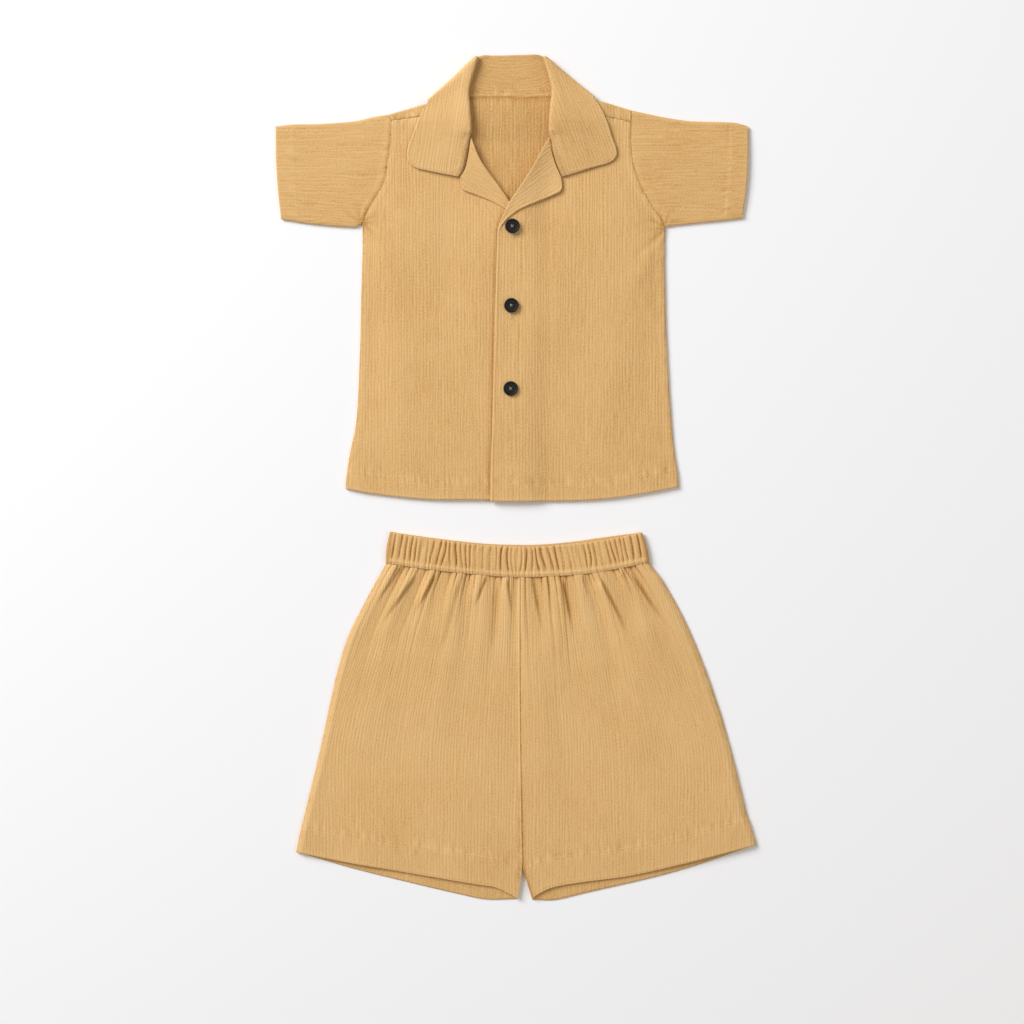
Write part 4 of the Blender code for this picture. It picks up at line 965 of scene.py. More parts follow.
def build_front(name, outline, level, sign):
    """One front with its facing edge, hem, seams and ribs. Returns its two stitch lines."""
    sizes, seed = bpy.context.scene.pyjama_sizes, SEEDS[name]
    plan, seamed = front_grid(*outline)
    x, y = plan[:, :, 0], plan[:, :, 1]
    side, edge, hem, shoulder = edge_distances(plan)
    below_arm = 1 - ramp(np.arange(len(plan)), seamed - 8, seamed)[:, None]
    closed = back_level(x, y) + LAYER
    middle = mix(level(x, y), closed, np.clip(1 - side / 13.0, 0, 1) * below_arm)
    opened = 1 - ramp(y, 222, 232)
    place = wander(x, y, seed)
    relief_and_shade = sizes.rib_height * ribs(place, y, seed)
    relief_and_shade += seam_relief(side, y, seed + 11) + seam_relief(shoulder, x, seed + 12, height=0.36)
    relief_and_shade += hem_relief(hem, x, SHIRT_HEM, seed + 13, height=0.3, sunk=0.3)
    pucker = underarm_pucker(x, y, outline[0][-1])
    # Painted highlight along the front's folded edge, and painted shade beside it and in the
    # facing's press line; both are also shallow relief.
    relief_and_shade += opened * (0.26 * bell(edge, 1.2, 0.8) - 0.12 * bell(edge, 3.0, 0.9))
    relief_and_shade += opened * (-0.14 * bell(edge, FACING, 0.9) + 0.05 * bell(edge, FACING + 1.7, 1.2))
    relief = relief_and_shade + 0.3 * pucker + fold_height(x, y, SHIRT_CREASES) + hem_turn(hem, SHIRT_HEM)
    # The underarm's creases and hollow go fully into the tone as painted shade, and only partly
    # into the relief.
    relief_and_shade += pucker
    relief += 0.5 * noise(x / 28, y / 80, seed + 17) * ramp(side, 0, 20)
    if sign > 0:
        lap = x - np.interp(y, *np.array(EDGE_LEFT).T[::-1])
        pressed = -0.75 * bell(lap, 0.2, 2.6) * ramp(y, -20, -12) * opened
        relief += pressed
        # Half the pressed trough also goes into the tone: painted shade on the right front beside
        # the left front's edge.
        relief_and_shade += 0.5 * pressed
    relief += rounded(edge) + rounded(hem) + rounded(side, 0.6, 0.3) + rounded(shoulder, 0.6, 0.3)
    top, under = panel_sides(plan, middle, relief, back_level(x, y) + CLOTH / 2)
    piece = panel_wall(name, top, under, cloth_map(place, y, seed % 10), relief_and_shade)
    finish_cloth(piece, name)
    return [hem_stitch_line(top, hem, SHIRT_HEM),
            hem_stitch_line(top[::-1], shoulder[::-1], 1.5 + HEM_STITCH)]


def build_shirt_fronts():
    """Both fronts, and their stitching."""
    right = (SIDE_RIGHT, ARMHOLE_RIGHT, HEM_RIGHT, EDGE_RIGHT, ROLL_RIGHT, NECK_RIGHT,
             SHOULDER_SEAM_RIGHT)
    left = (SIDE_LEFT, ARMHOLE_LEFT, HEM_LEFT, EDGE_LEFT, ROLL_LEFT, NECK_LEFT,
            SHOULDER_SEAM_LEFT)
    lines = build_front("shirt_front_right", right, front_level, 1)
    lines += build_front("shirt_front_left", left, left_front_level, -1)
    add_stitching("shirt_front_stitching", lines)


def fold_strip(table, columns, sizes, seed):
    """The back's shoulder, as rows of points and their tone. Each column is half a circle over
    the fold, then a straight run forward to the seam."""
    rows = through(table, np.linspace(0, len(table) - 1, columns))
    fold_x, fold_y, seam_x, seam_y = rows.T
    low, high = back_level(fold_x, fold_y), front_level(seam_x, seam_y)
    radius = (high - low) / 2
    reach = radius + CLOTH / 2
    turn = np.linspace(-np.pi / 2, np.pi / 2, 9)[:, None]
    bend = np.stack([np.broadcast_to(fold_x, (9, columns)),
                     (fold_y - reach)[None] + radius[None] * np.cos(turn),
                     ((low + high) / 2)[None] + radius[None] * np.sin(turn)], axis=-1)
    share = np.linspace(0, 1, 12)[1:, None]
    straight = np.stack([mix(fold_x, seam_x, share), mix(fold_y - reach, seam_y, share),
                         np.broadcast_to(high, (11, columns))], axis=-1)
    x, y = straight[..., 0], straight[..., 1]
    to_seam = y - seam_y[None]
    bumps = sizes.rib_height * ribs(wander(x, y, SEEDS["shirt_back"]), y, seed)
    puckers = 0.55 * noise(x / 2.6 + to_seam / 5, to_seam / 9, seed + 4)
    # Puckers and a dip at the shoulder seam, whose tone is painted shade and light.
    bumps += puckers * bell(to_seam, 0.0, 6.0) - 0.25 * bell(to_seam, 0.2, 0.8)
    straight[..., 2] += bumps
    return np.concatenate([bend, straight]), np.concatenate([np.zeros(bend.shape[:2]), bumps])


def build_shirt_back():
    """The back, from its hem over the shoulders to the forward seams."""
    sizes, seed = bpy.context.scene.pyjama_sizes, SEEDS["shirt_back"]
    fold_columns = 72
    right, right_relief_and_shade = fold_strip(SHOULDER_RIGHT, fold_columns, sizes, seed - 2)
    left, left_relief_and_shade = fold_strip(SHOULDER_LEFT[::-1], fold_columns, sizes, seed - 1)
    neck = curve(BACK_NECK, np.linspace(0, 1, 120)) + (0.0, 0.35)
    high = np.vstack([right[0, :, :2], neck, left[0, :, :2]])
    rows = np.concatenate([np.linspace(0, 0.055, 6)[:-1], np.linspace(0.055, 0.88, 16)[:-1],
                           np.linspace(0.88, 1.0, 16)])
    arm = np.linspace(0, 1, 90)
    near = joined(curve(SIDE_RIGHT, rows), curve(ARMHOLE_RIGHT, arm))
    far = joined(curve(SIDE_LEFT, rows), curve(ARMHOLE_LEFT, arm))
    low = curve(HEM_RIGHT[:-1] + HEM_LEFT[::-1][1:], run(high))
    near[0], far[0] = low[0], low[-1]
    near[-1], far[-1] = high[0], high[-1]
    plan = patch(low, high, near, far)
    x, y = plan[:, :, 0], plan[:, :, 1]
    neck_edge = np.linalg.norm(plan - plan[-1:], axis=2)
    seen = ramp(y, 226, 236)
    at_neck = ramp(y, 300, 312)
    bumps = seen * sizes.rib_height * 1.3 * ribs(wander(x, y, seed), y, seed)
    bumps += at_neck * 0.2 * noise(x / 3, y / 9, seed + 1) * bell(neck_edge, 0.0, 6.0)
    # A dip at the neck edge, whose tone is painted shade under the collar's seam.
    bumps -= at_neck * 0.4 * bell(neck_edge, 0.3, 1.0)
    flat = np.dstack([plan, back_level(x, y) + bumps + 0.3 * seen])
    number = numbered(*plan.shape[:2])
    count = number.size
    faces, points = [strip(number[:-1], number[1:])], [flat.reshape(-1, 3)]
    # The inside of the back, seen in the neck, is darker: painted shade, and partly the cloth's
    # inner side.
    relief = [(bumps - 0.36 * seen).ravel()]
    for fold, shade, first in ((right, right_relief_and_shade, 0),
                               (left, left_relief_and_shade, plan.shape[1] - fold_columns)):
        added = count + numbered(len(fold) - 1, fold_columns)
        lines = np.vstack([number[-1:, first:first + fold_columns], added])
        faces.append(strip(lines[:-1], lines[1:]))
        points.append(fold[1:].reshape(-1, 3))
        relief.append(shade[1:].ravel())
        count += added.size
    points = np.concatenate(points)
    points[:, 2] = np.maximum(points[:, 2], CLOTH / 2)
    cloth = cloth_map(wander(points[:, 0], points[:, 1], seed), points[:, 1], 0)
    piece = new_mesh("shirt_back_gauze", points, faces, cloth, np.concatenate(relief))
    shell = piece.modifiers.new("wall", "SOLIDIFY")
    shell.thickness = CLOTH * MM
    shell.offset = 0.0
    finish_cloth(piece, "shirt_back")


def sleeve_plan(top, low, cuff, armhole):
    """Plan of a flattened sleeve: rows from the armhole to the cuff, columns from low to top."""
    share = closer_ends(66, 95.0)
    across = np.concatenate([[0.0], np.linspace(0.034, 0.966, 148), [1.0]])
    near, far = curve(armhole, across), curve(cuff, across)
    outline_low, outline_top = curve(low, share), curve(top, share)
    outline_low[0], outline_top[0] = near[0], near[-1]
    return patch(near, far, outline_low, outline_top)


def build_sleeve(name, top, low, cuff, armhole, sign):
    """A short sleeve as a flattened tube with a turned, stitched cuff. Returns its stitch line."""
    sizes, seed = bpy.context.scene.pyjama_sizes, SEEDS[name]
    part = seed % 10
    plan = sleeve_plan(top, low, cuff, armhole)
    across = plan[:, -1] - plan[:, 0]
    across /= np.linalg.norm(across, axis=1)[:, None]
    layer = plan[:, 1:-1].copy()
    x, y = layer[..., 0], layer[..., 1]
    to_arm = np.linalg.norm(layer - layer[:1], axis=2)
    to_cuff = np.linalg.norm(layer - layer[-1:], axis=2)
    span = np.linspace(0, np.pi, layer.shape[1])
    full = np.sin(span)[None] * np.linspace(0.2, 1, len(plan))[:, None]
    middle = CLOTH / 2 + LAYER + EASE + SLEEVE_FULLNESS * full
    crinkle = ribs(wander(y, x, seed, sway=2.2), x, seed)
    relief_and_shade = sizes.rib_height * 1.6 * crinkle * ramp(to_arm, 0.0, 2.5)
    relief_and_shade += seam_relief(to_arm, y, seed + 2, height=0.26)
    relief_and_shade += hem_relief(to_cuff, y, SLEEVE_HEM, seed + 3, height=0.2, sunk=0.0)
    # The wearer's left sleeve is a little darker all over: painted shade.
    relief_and_shade -= 0.11 * (sign < 0)
    pucker = underarm_pucker(x, y, low[0])
    relief = relief_and_shade + 0.3 * pucker + rounded(to_arm, 0.6, 0.3) + rounded(to_cuff)
    relief += 0.5 * hem_turn(to_cuff, SLEEVE_HEM)
    # Painted shade in the underarm's creases, and a painted pale line along the cuff's stitching.
    relief_and_shade += pucker + 0.2 * bell(to_cuff, SLEEVE_HEM - HEM_STITCH, 0.9)
    relief *= ramp(np.minimum(span, np.pi - span), 0.0, 0.06)[None]
    heights = (middle + CLOTH / 2 + relief, middle - CLOTH / 2)
    end_level = np.full(len(plan), (CLOTH + LAYER + EASE) / 2)
    outer, inner = flat_tube(layer, heights, layer[:, ::-4], plan[:, 0], plan[:, -1], across,
                             end_level, CLOTH)
    top_grid = outer[::-1, :layer.shape[1]]
    hidden = np.zeros((len(plan), outer.shape[1] - relief_and_shade.shape[1]))
    relief = np.concatenate([relief_and_shade, hidden], axis=1)
    place = wander(outer[..., 1], outer[..., 0], seed, sway=2.2)
    cloth = cloth_map(place, outer[..., 0], part)
    if sign > 0:
        outer, inner, cloth, relief = (grid[::-1] for grid in (outer, inner, cloth, relief))
    piece = grid_wall(name, outer, inner, cloth, relief, ring=True)
    finish_cloth(piece, name)
    return [hem_stitch_line(top_grid, to_cuff[::-1], SLEEVE_HEM, margin=2)]


def build_sleeves():
    """Both sleeves and their cuff stitching."""
    lines = build_sleeve("sleeve_right", SLEEVE_TOP_RIGHT, SLEEVE_LOW_RIGHT, CUFF_RIGHT,
                         ARMHOLE_RIGHT, 1)
    lines += build_sleeve("sleeve_left", SLEEVE_TOP_LEFT, SLEEVE_LOW_LEFT, CUFF_LEFT,
                          ARMHOLE_LEFT, -1)
    add_stitching("sleeve_stitching", lines, radius=0.15)


# ---- Collar and lapels ----

def collar_rows():
    """Every collar section in turn: neck, roll and outer points, then down, turn and side.
    Side is 0 on the fronts, 1 across the back, and passes between them in the fold at each
    shoulder, whose sections share one line."""
    turns = np.linspace(0.0, 1.0, 5)
    rows = []
    for front, shoulder in ((COLLAR_RIGHT, COLLAR_SHOULDER_RIGHT),
                            (COLLAR_LEFT, COLLAR_SHOULDER_LEFT)):
        side = [(*row, 0.0) for row in front]
        side += [(*shoulder, 1.0, 1.0, turn) for turn in turns]
        rows.append(side)
    back = [(*row, 1.0, 1.0, 1.0) for row in COLLAR_BACK]
    return np.array(rows[0] + back + rows[1][::-1])


def collar_net():
    """Middle grid of the collar: a row of ten points for each section, from neck to outer edge."""
    rows = collar_rows()
    neck, roll, edge = rows[:, 0:2], rows[:, 2:4], rows[:, 4:6]
    down, turn, side = rows[:, 6:].T
    floor = np.full(len(rows), CLOTH / 2)
    facing = np.sign(neck[:, 0] - COLLAR_MIDDLE)
    outward = np.column_stack([0.75 * facing, np.full(len(rows), 0.66)])
    first = len(COLLAR_RIGHT)
    in_fold = np.zeros(len(rows))
    in_fold[first:first + 5] = 1.0
    in_fold[-first - 5:-first] = 1.0

    def folded(plan, over, under, tuck=0.0, bulge=1.0):
        """Point at its height, rounded over and tucked in where it is in the shoulder fold."""
        radius = (over - under) / 2
        inward = (bulge * radius * (np.sin(np.pi * side) - 1.0) - tuck) * in_fold
        height = (over + under) / 2 + radius * np.cos(np.pi * side)
        return np.column_stack([plan + outward * inward[:, None], height])

    stand_over = mix(leaf_level(*neck.T), front_level(*neck.T), down)
    stand_under = back_level(*neck.T)
    crest = stand_over + 2 * ROLL * turn
    leaf_over = np.maximum(leaf_level(*mix(roll, edge, 0.5).T),
                           mix(crest, leaf_level(*edge.T), 0.45))
    way_in = neck - roll
    span_in = np.linalg.norm(way_in, axis=1)
    tight = 1 - ramp(span_in, 2.5, 5.0)
    before = roll + way_in * np.minimum(0.5, 1.3 / span_in)[:, None]
    way_out = edge - roll
    after = roll + way_out * (1.3 / np.linalg.norm(way_out, axis=1))[:, None]
    before_over = mix(stand_over, crest, mix(0.12, 0.25, tight) * turn)
    middle_under = (stand_under + floor) / 2
    return np.stack([
        folded(neck, stand_over, stand_under),
        folded(mix(neck, before, 0.5), mix(stand_over, before_over, 0.3), stand_under,
               STAND_TUCK / 2),
        folded(before, before_over, mix(stand_under, floor, 0.12), STAND_TUCK),
        folded(roll, mix(stand_over, crest, 0.5), middle_under, STAND_TUCK / 4, 0.4),
        folded(after, mix(crest, stand_over, 0.12 * turn), mix(floor, stand_under, 0.12), 0.0, 0.5),
        folded(mix(after, edge, 0.12), mix(crest, leaf_over, 0.2), floor, 0.0, 0.8),
        folded(mix(after, edge, 0.3), mix(crest, leaf_over, 0.7), floor),
        folded(mix(after, edge, 0.5), leaf_over, floor),
        folded(mix(after, edge, 0.75), mix(leaf_over, leaf_level(*edge.T), 0.6), floor, 0.0, 0.6),
        folded(edge, leaf_level(*edge.T), floor, 0.0, 0.3),
    ], axis=1)


def rounded_path(rows, steps):
    """Curve through uneven rows that hardly overshoots: Hermite pieces whose slopes are
    limited to 1.2 times the smaller neighbouring step."""
    rows = np.asarray(rows, dtype=float)
    delta = np.diff(rows, axis=0)
    before, after = delta[:-1], delta[1:]
    size_before = np.linalg.norm(before, axis=-1, keepdims=True)
    size_after = np.linalg.norm(after, axis=-1, keepdims=True)
    slope = (before + after) / 2
    limit = 1.2 * np.minimum(size_before, size_after)
    size = np.maximum(np.linalg.norm(slope, axis=-1, keepdims=True), 1e-9)
    slope = slope * np.minimum(1.0, limit / size)
    slope = np.concatenate([delta[:1], slope, delta[-1:]])
    first = np.minimum(np.asarray(steps).astype(int), len(rows) - 2)
    t = (steps - first).reshape((-1,) + (1,) * (rows.ndim - 1))
    a, b = rows[first], rows[first + 1]
    m, n = slope[first], slope[first + 1]
    return ((2 * t**3 - 3 * t**2 + 1) * a + (t**3 - 2 * t**2 + t) * m
            + (3 * t**2 - 2 * t**3) * b + (t**3 - t**2) * n)


def spaced(lengths, spacing):
    """Fractional steps along rows, with each interval cut into pieces of about one spacing."""
    parts = np.maximum(1, np.round(lengths / spacing)).astype(int)
    cuts = [k + np.arange(part) / part for k, part in enumerate(parts)]
    return np.concatenate(cuts + [[float(len(lengths))]])


def lengths_along(grid, axis):
    """Length passed at each point of a grid along one of its directions, from 0."""
    steps = np.cumsum(np.linalg.norm(np.diff(grid, axis=axis), axis=2), axis=axis)
    start = np.zeros_like(steps[:1] if axis == 0 else steps[:, :1])
    return np.concatenate([start, steps], axis=axis)


def collar_middle():
    """Fine middle grid of the collar, from its outer edge to its neck edge, and the steps of
    the coarse grid at which its columns lie. The leaf is smoothed along the collar on the
    fronts and lifted there."""
    net = collar_net()
    long_way = np.linalg.norm(np.diff(net[:, 7], axis=0), axis=1)
    short_way = np.linalg.norm(np.diff(net, axis=1), axis=2).mean(axis=0)
    fine = rounded_path(net, spaced(np.maximum(long_way, 1.2), 1.3))
    steps = np.concatenate([[0.0, 0.08, 0.2], spaced(short_way, 0.62)[1:-1], [8.9, 8.96, 9.0]])
    steps = np.unique(np.round(steps, 4))
    on_front = 1 - ramp(fine[:, 6:7, 1], 308, 335) * np.ones((1, 10))
    soft = np.copy(fine[..., 2])
    for _ in range(60):
        soft[1:-1] = (soft[:-2] + 2 * soft[1:-1] + soft[2:]) / 4
    leaf_only = np.array([0, 0, 0, 0, 0.3, 0.7, 1, 1, 1, 1.0])
    fine[..., 2] = mix(fine[..., 2], soft, on_front * leaf_only)
    lifted = 1 - ramp(fine[:, 6:7, 1], 300, 330)
    fine[..., 2] += COLLAR_LIFT * ramp(fine[..., 1], 236, 290) * lifted * LEAF_SLOPE
    middle = rounded_path(fine.transpose(1, 0, 2), steps).transpose(1, 0, 2)
    return middle[:, ::-1], steps[::-1]


def build_collar():
    """The one-piece collar: stand, roll and leaf, with edge stitching and neck puckers."""
    sizes, seed = bpy.context.scene.pyjama_sizes, SEEDS["collar"]
    middle, steps = collar_middle()
    from_edge = lengths_along(middle, 1)
    from_neck = from_edge[:, -1:] - from_edge
    third = len(steps) // 3
    along = np.broadcast_to(lengths_along(middle[:, third:third + 1], 0), from_edge.shape)
    ends = np.minimum(along, along[-1, 0] - along)
    x, y = middle[..., 0], middle[..., 1]
    right_half = np.arange(len(middle)) * 2 < len(middle)
    lean = np.where(right_half, 9.0, -21.0)[:, None] * np.pi / 180
    facing = np.sign(lean)
    straight = facing * (x * np.cos(lean) - y * np.sin(lean))
    upright = facing * (x * np.sin(lean) + y * np.cos(lean))
    at_roll = np.argmin(np.abs(steps - 3.0))
    past_roll = from_edge - from_edge[:, at_roll:at_roll + 1]
    from_middle = np.abs(x[:, at_roll:at_roll + 1] - COLLAR_MIDDLE)
    leaf = (1 - ramp(past_roll, -1.0, 5.0)) * ramp(from_middle, 16.0, 28.0)
    upright = mix(along, upright, leaf)
    place = wander(mix(from_edge, straight, leaf), upright, seed)
    relief_and_shade = sizes.rib_height * ribs(place, upright, seed)
    # The leaf on the wearer's right is painted lighter, and the stand inside the neck darker:
    # painted light and painted shade.
    relief_and_shade += 0.19 * leaf * (facing > 0) - 0.22 * (1 - leaf)
    dashes = 0.5 + 0.5 * np.tanh(6 * np.sin(2 * np.pi * along / 3.0))
    # Painted shade in the edge stitching's groove and a painted highlight on the rolled edge; at
    # the neck seam the puckers' painted shade and light, a painted highlight on the seam's cord
    # with painted shade just below it, and painted shade in dashes along the stitching.
    relief_and_shade += -0.2 * bell(from_edge, COLLAR_STITCH, 0.6) + 0.12 * bell(from_edge, 1.3, 0.9)
    relief_and_shade += 0.3 * noise(along / 2.7, from_neck / 8, seed + 3) * bell(from_neck, 4.5, 3.5)
    relief_and_shade += 0.25 * bell(from_neck, 2.0, 0.8) - 0.45 * bell(from_neck, 0.3, 0.7)
    relief_and_shade -= 0.25 * dashes * bell(from_neck, NECK_STITCH, 0.5)
    relief = relief_and_shade + 0.4 * noise(from_edge / 26, along / 40, seed + 4)
    half = normals(middle)
    outer = middle + half * (CLOTH / 2 + relief + rounded(from_edge) + rounded(ends))[..., None]
    outer[..., 2] = np.maximum(outer[..., 2], 0.0)
    inner = middle - half * CLOTH / 2
    piece = grid_wall("collar", outer, inner, cloth_map(place, upright, 3), relief_and_shade)
    finish_cloth(piece, "collar")
    rows = np.arange(3.0, len(middle) - 3)
    edge_line = on_grid(outer, rows, crossing(from_edge.T, COLLAR_STITCH)[3:-3])
    # The edge behind the neck lies low, under the shirt's back, and its stitches don't show
    hidden = edge_line[:, 2] < 1.8
    lines = [edge_line[:np.argmax(hidden)],
             edge_line[len(hidden) - np.argmax(hidden[::-1]):]]
    neck_columns = crossing(from_neck.T[::-1], NECK_STITCH)[3:-3]
    lines.append(on_grid(outer, rows, outer.shape[1] - 1 - neck_columns))
    columns = np.arange(4.0, np.argmax(from_edge[0] > 30))
    for grid, distance in ((outer, along), (outer[::-1], along[-1, 0] - along[::-1])):
        tip_rows = crossing(distance, COLLAR_STITCH)[4:4 + len(columns)]
        lines.append(on_grid(grid, tip_rows, columns))
    add_stitching("collar_stitching", lines, radius=0.2)


def build_lapel(name, gorge, edge, roll, level, sign):
    """The turned-back top of a front, lying on it, raised along its roll line. Returns its
    stitch line."""
    sizes, seed = bpy.context.scene.pyjama_sizes, SEEDS[name]
    share, across = closer_ends(85, 70.0), closer_ends(61, 40.0)
    roll_line, free, high = curve(roll, share), curve(edge, share), curve(gorge, across)
    low = (1 - across)[:, None] * roll_line[0] + across[:, None] * free[0]
    roll_line[-1] = high[0]
    plan = patch(low, high, roll_line, free)
    x, y = plan[..., 0], plan[..., 1]
    begun = np.clip((share[:, None] - 0.12) / 0.88, 0, 1)
    rise = LAPEL_ROLL * (1 - across[None, :]) ** 2 * np.sqrt(np.abs(np.sin(np.pi * begun)))
    rise = rise + COLLAR_LIFT * ramp(y, 236, 290) * (1 - across[None, :]) * ramp(begun, 0.0, 0.3)
    rise = rise + 0.7 * across[None, :] ** 2 * ramp(begun, 0.3, 0.8)
    rise = rise - (LAYER + LAPEL_EASE) * (1 - ramp(share, 0.0, 0.42)[:, None]) * (sign < 0)
    middle = level(x, y) + LAYER + LAPEL_EASE + rise
    at_roll, at_free, at_low, at_gorge = edge_distances(plan)
    along = np.broadcast_to(run(roll_line)[:, None] * 72.0, x.shape)
    lean = np.radians(31.0 if sign > 0 else -37.0)
    place = wander(x * np.sin(lean) + y * np.cos(lean),
                   x * np.cos(lean) - y * np.sin(lean), seed, sway=1.6)
    crisp = 0.6 if sign > 0 else 0.25
    # The wearer's left lapel is painted lighter all over: painted light.
    relief_and_shade = crisp * sizes.rib_height * ribs(place, along, seed) + 0.2 * (sign < 0)
    # Painted shade in the stitching's groove and a painted highlight on the edge.
    relief_and_shade += -0.18 * bell(at_free, 2.4, 0.6) + 0.1 * bell(at_free, 1.2, 0.8)
    relief = (relief_and_shade + 0.2 * noise(at_roll / 14, along / 18, seed + 3)) * ramp(at_low, 0.0, 2.0)
    edges = rounded(at_free) + rounded(at_roll, 1.6, 0.7) + rounded(at_gorge, 0.6, 0.3)
    top = np.dstack([plan, middle + CLOTH / 2 + relief + edges])
    under = np.dstack([plan, middle - CLOTH / 2])
    piece = panel_wall(name, top, under, cloth_map(place, along, seed % 10), relief_and_shade, stride=4)
    finish_cloth(piece, name)
    columns = crossing(at_free[:, ::-1].T, 2.4)
    rows = np.flatnonzero(at_free.max(axis=1) > 7.0)[3:-8]
    return [on_grid(top, rows.astype(float), top.shape[1] - 1 - columns[rows])]


def build_lapels():
    """Both lapels and their edge stitching."""
    right_edge = [(-4.5, 225.6)] + LAPEL_EDGE_RIGHT
    right_roll = [(-1.5, 229.8), (-6.6, 237.0)] + ROLL_RIGHT[2:]
    left_roll = [(-15.9, 203.6), (-15.3, 209.4), (-13.4, 216.5)] + ROLL_LEFT
    lines = build_lapel("lapel_right", GORGE_RIGHT, right_edge, right_roll, front_level, 1)
    lines += build_lapel("lapel_left", GORGE_LEFT, LAPEL_EDGE_LEFT, left_roll,
                         left_front_level, -1)
    add_stitching("lapel_stitching", lines, radius=0.2)


# ---- Buttons ----

def turned_solid(name, profile, sides, x, y, z):
    """Solid of revolution about an upright axis: each profile point carried round a circle."""
    angle = np.linspace(0, 2 * np.pi, sides, endpoint=False)
    radius, height = np.array(profile).T
    points = np.stack([x + radius[:, None] * np.cos(angle), y + radius[:, None] * np.sin(angle),
                       np.broadcast_to(z + height[:, None], (len(radius), sides))], axis=-1)
    ring = numbered(len(radius), sides, ring=True)
    faces = [strip(ring[:-1], ring[1:]), ring[:1, :-1][:, ::-1], ring[-1:, :-1]]
    return new_mesh(name, points.reshape(-1, 3), faces)


def left_front_top(x, y):
    """Height of the left front's upper side at one place."""
    return float(left_front_level(np.array(x), np.array(y))) + CLOTH / 2


def button_profile():
    """Half section of a button from its underside to its dished middle: straight run,
    rounded side, rounded rim and a sloping fall to a flat dish."""
    side = np.linspace(-np.pi / 2, 0, 6)
    rim = np.linspace(0, np.pi, 12)
    shoulder = BUTTON_HEIGHT - 0.55
    low = [(BUTTON_RADIUS - 0.9 + 0.9 * np.cos(a), 0.8 + 0.8 * np.sin(a)) for a in side]
    top = [(BUTTON_RADIUS - 0.75 + 0.75 * np.cos(a), shoulder + 0.55 * np.sin(a)) for a in rim]
    fall = np.linspace(0, 1, 8)[1:]
    dish = [(BUTTON_RADIUS - 1.5 - 0.9 * f, shoulder - 0.16 * np.sin(f * np.pi / 2))
            for f in fall]
    return low + top + dish + [(0.35, BUTTON_HEIGHT - 0.73)]


def build_button(name, x, y):
    """A four-hole button with a rounded rim and a dished middle."""
    seat = left_front_top(x, y) + GAP
    piece = turned_solid(name, button_profile(), 72, x, y, seat)
    reach = BUTTON_HOLE_PITCH / 2
    bore = [(BUTTON_HOLE, -1.0), (BUTTON_HOLE, BUTTON_HEIGHT - 0.9),
            (BUTTON_HOLE + 0.05, BUTTON_HEIGHT - 0.78), (BUTTON_HOLE + 0.25, BUTTON_HEIGHT + 1.0)]
    cutters = []
    for side_x, side_y in ((-reach, -reach), (reach, -reach), (reach, reach), (-reach, reach)):
        cutter = turned_solid(name + "_bore", bore, 20, x + side_x, y + side_y, seat)
        cutters.append(cutter)
        hole = piece.modifiers.new("hole", "BOOLEAN")
        hole.operation = "DIFFERENCE"
        hole.solver = "EXACT"
        hole.object = cutter
    graph = bpy.context.evaluated_depsgraph_get()
    cut = bpy.data.meshes.new_from_object(piece.evaluated_get(graph))
    piece.modifiers.clear()
    piece.data = cut
    for cutter in cutters:
        bpy.data.objects.remove(cutter, do_unlink=True)
    piece.data.shade_smooth()
    piece.data.set_sharp_from_angle(angle=np.radians(40))
    piece.data.materials.clear()
    colour = tuple(bpy.context.scene.pyjama_colours.button)
    piece.data.materials.append(button_material(colour))
    piece.name = name + "_moulded"
    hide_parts(name)
    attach(piece, "root")


def cross_paths(x, y):
    """Thread over a button: two crossing strands, each between opposite holes."""
    height = left_front_top(x, y) + GAP + BUTTON_HEIGHT - 0.75
    reach = BUTTON_HOLE_PITCH / 2
    share = np.linspace(-1, 1, 13)
    paths = []
    for way in (1, -1):
        for shift in (-0.16, 0.16):
            arch = 0.28 + 0.12 * (way > 0) - 0.9 * np.clip(np.abs(share) - 0.82, 0, 1) * 4
            px = x + share * reach + shift * way * 0.7
            py = y + share * reach * way - shift * 0.7
            paths.append(np.column_stack([px, py, height + arch]))
    return paths


def build_buttons():
    """The three buttons, their thread and the buttonholes' stitching: two columns of short
    stitches and a few long ones at both ends."""
    crosses, short, long = [], [], []
    for name, (x, y) in BUTTON_PLACES.items():
        build_button(name, x, y)
        crosses += cross_paths(x, y)
        places = np.arange(y + 3.0, y - 10.4, -0.5)
        for side in (-0.75, 0.75):
            left, right = x + side - 0.62, x + side + 0.62
            for row in places:
                top = left_front_top(x, row) + 0.05
                short.append(np.array([(left, row, top), (right, row + 0.12, top)]))
        for end in (places[0] + 0.4, places[-1] - 0.5, places[-1] - 0.9):
            top = left_front_top(x, end) + 0.05
            long.append(np.array([(x - 1.5, end, top), (x + 1.5, end, top)]))
    strand = np.hypot(BUTTON_HOLE_PITCH, BUTTON_HOLE_PITCH) * 0.98
    thread = ("button_thread", tuple(bpy.context.scene.pyjama_colours.button_thread))
    cross = add_stitching("button_thread", crosses, strand, 0.01, 0.16, 0.0, thread)
    add_stitching("buttonhole_stitching", short, 1.2, 0.02, 0.17, 0.0)
    add_stitching("buttonhole_bars", long, 2.9, 0.02, 0.17, 0.0)


# ---- Shorts ----

def pleat_phase(share, height):
    """Number of pleats passed at a fraction of the waist. It is pushed about, so that widths
    and slants vary."""
    seed = SEEDS["waistband"]
    push = 0.8 * noise(share * 15.0, height * 0.8, seed)
    push += 0.36 * noise(share * 41.0, height * 1.5, seed + 1)
    return PLEATS * share + push * np.sin(np.pi * np.clip(share, 0, 1)) ** 0.3


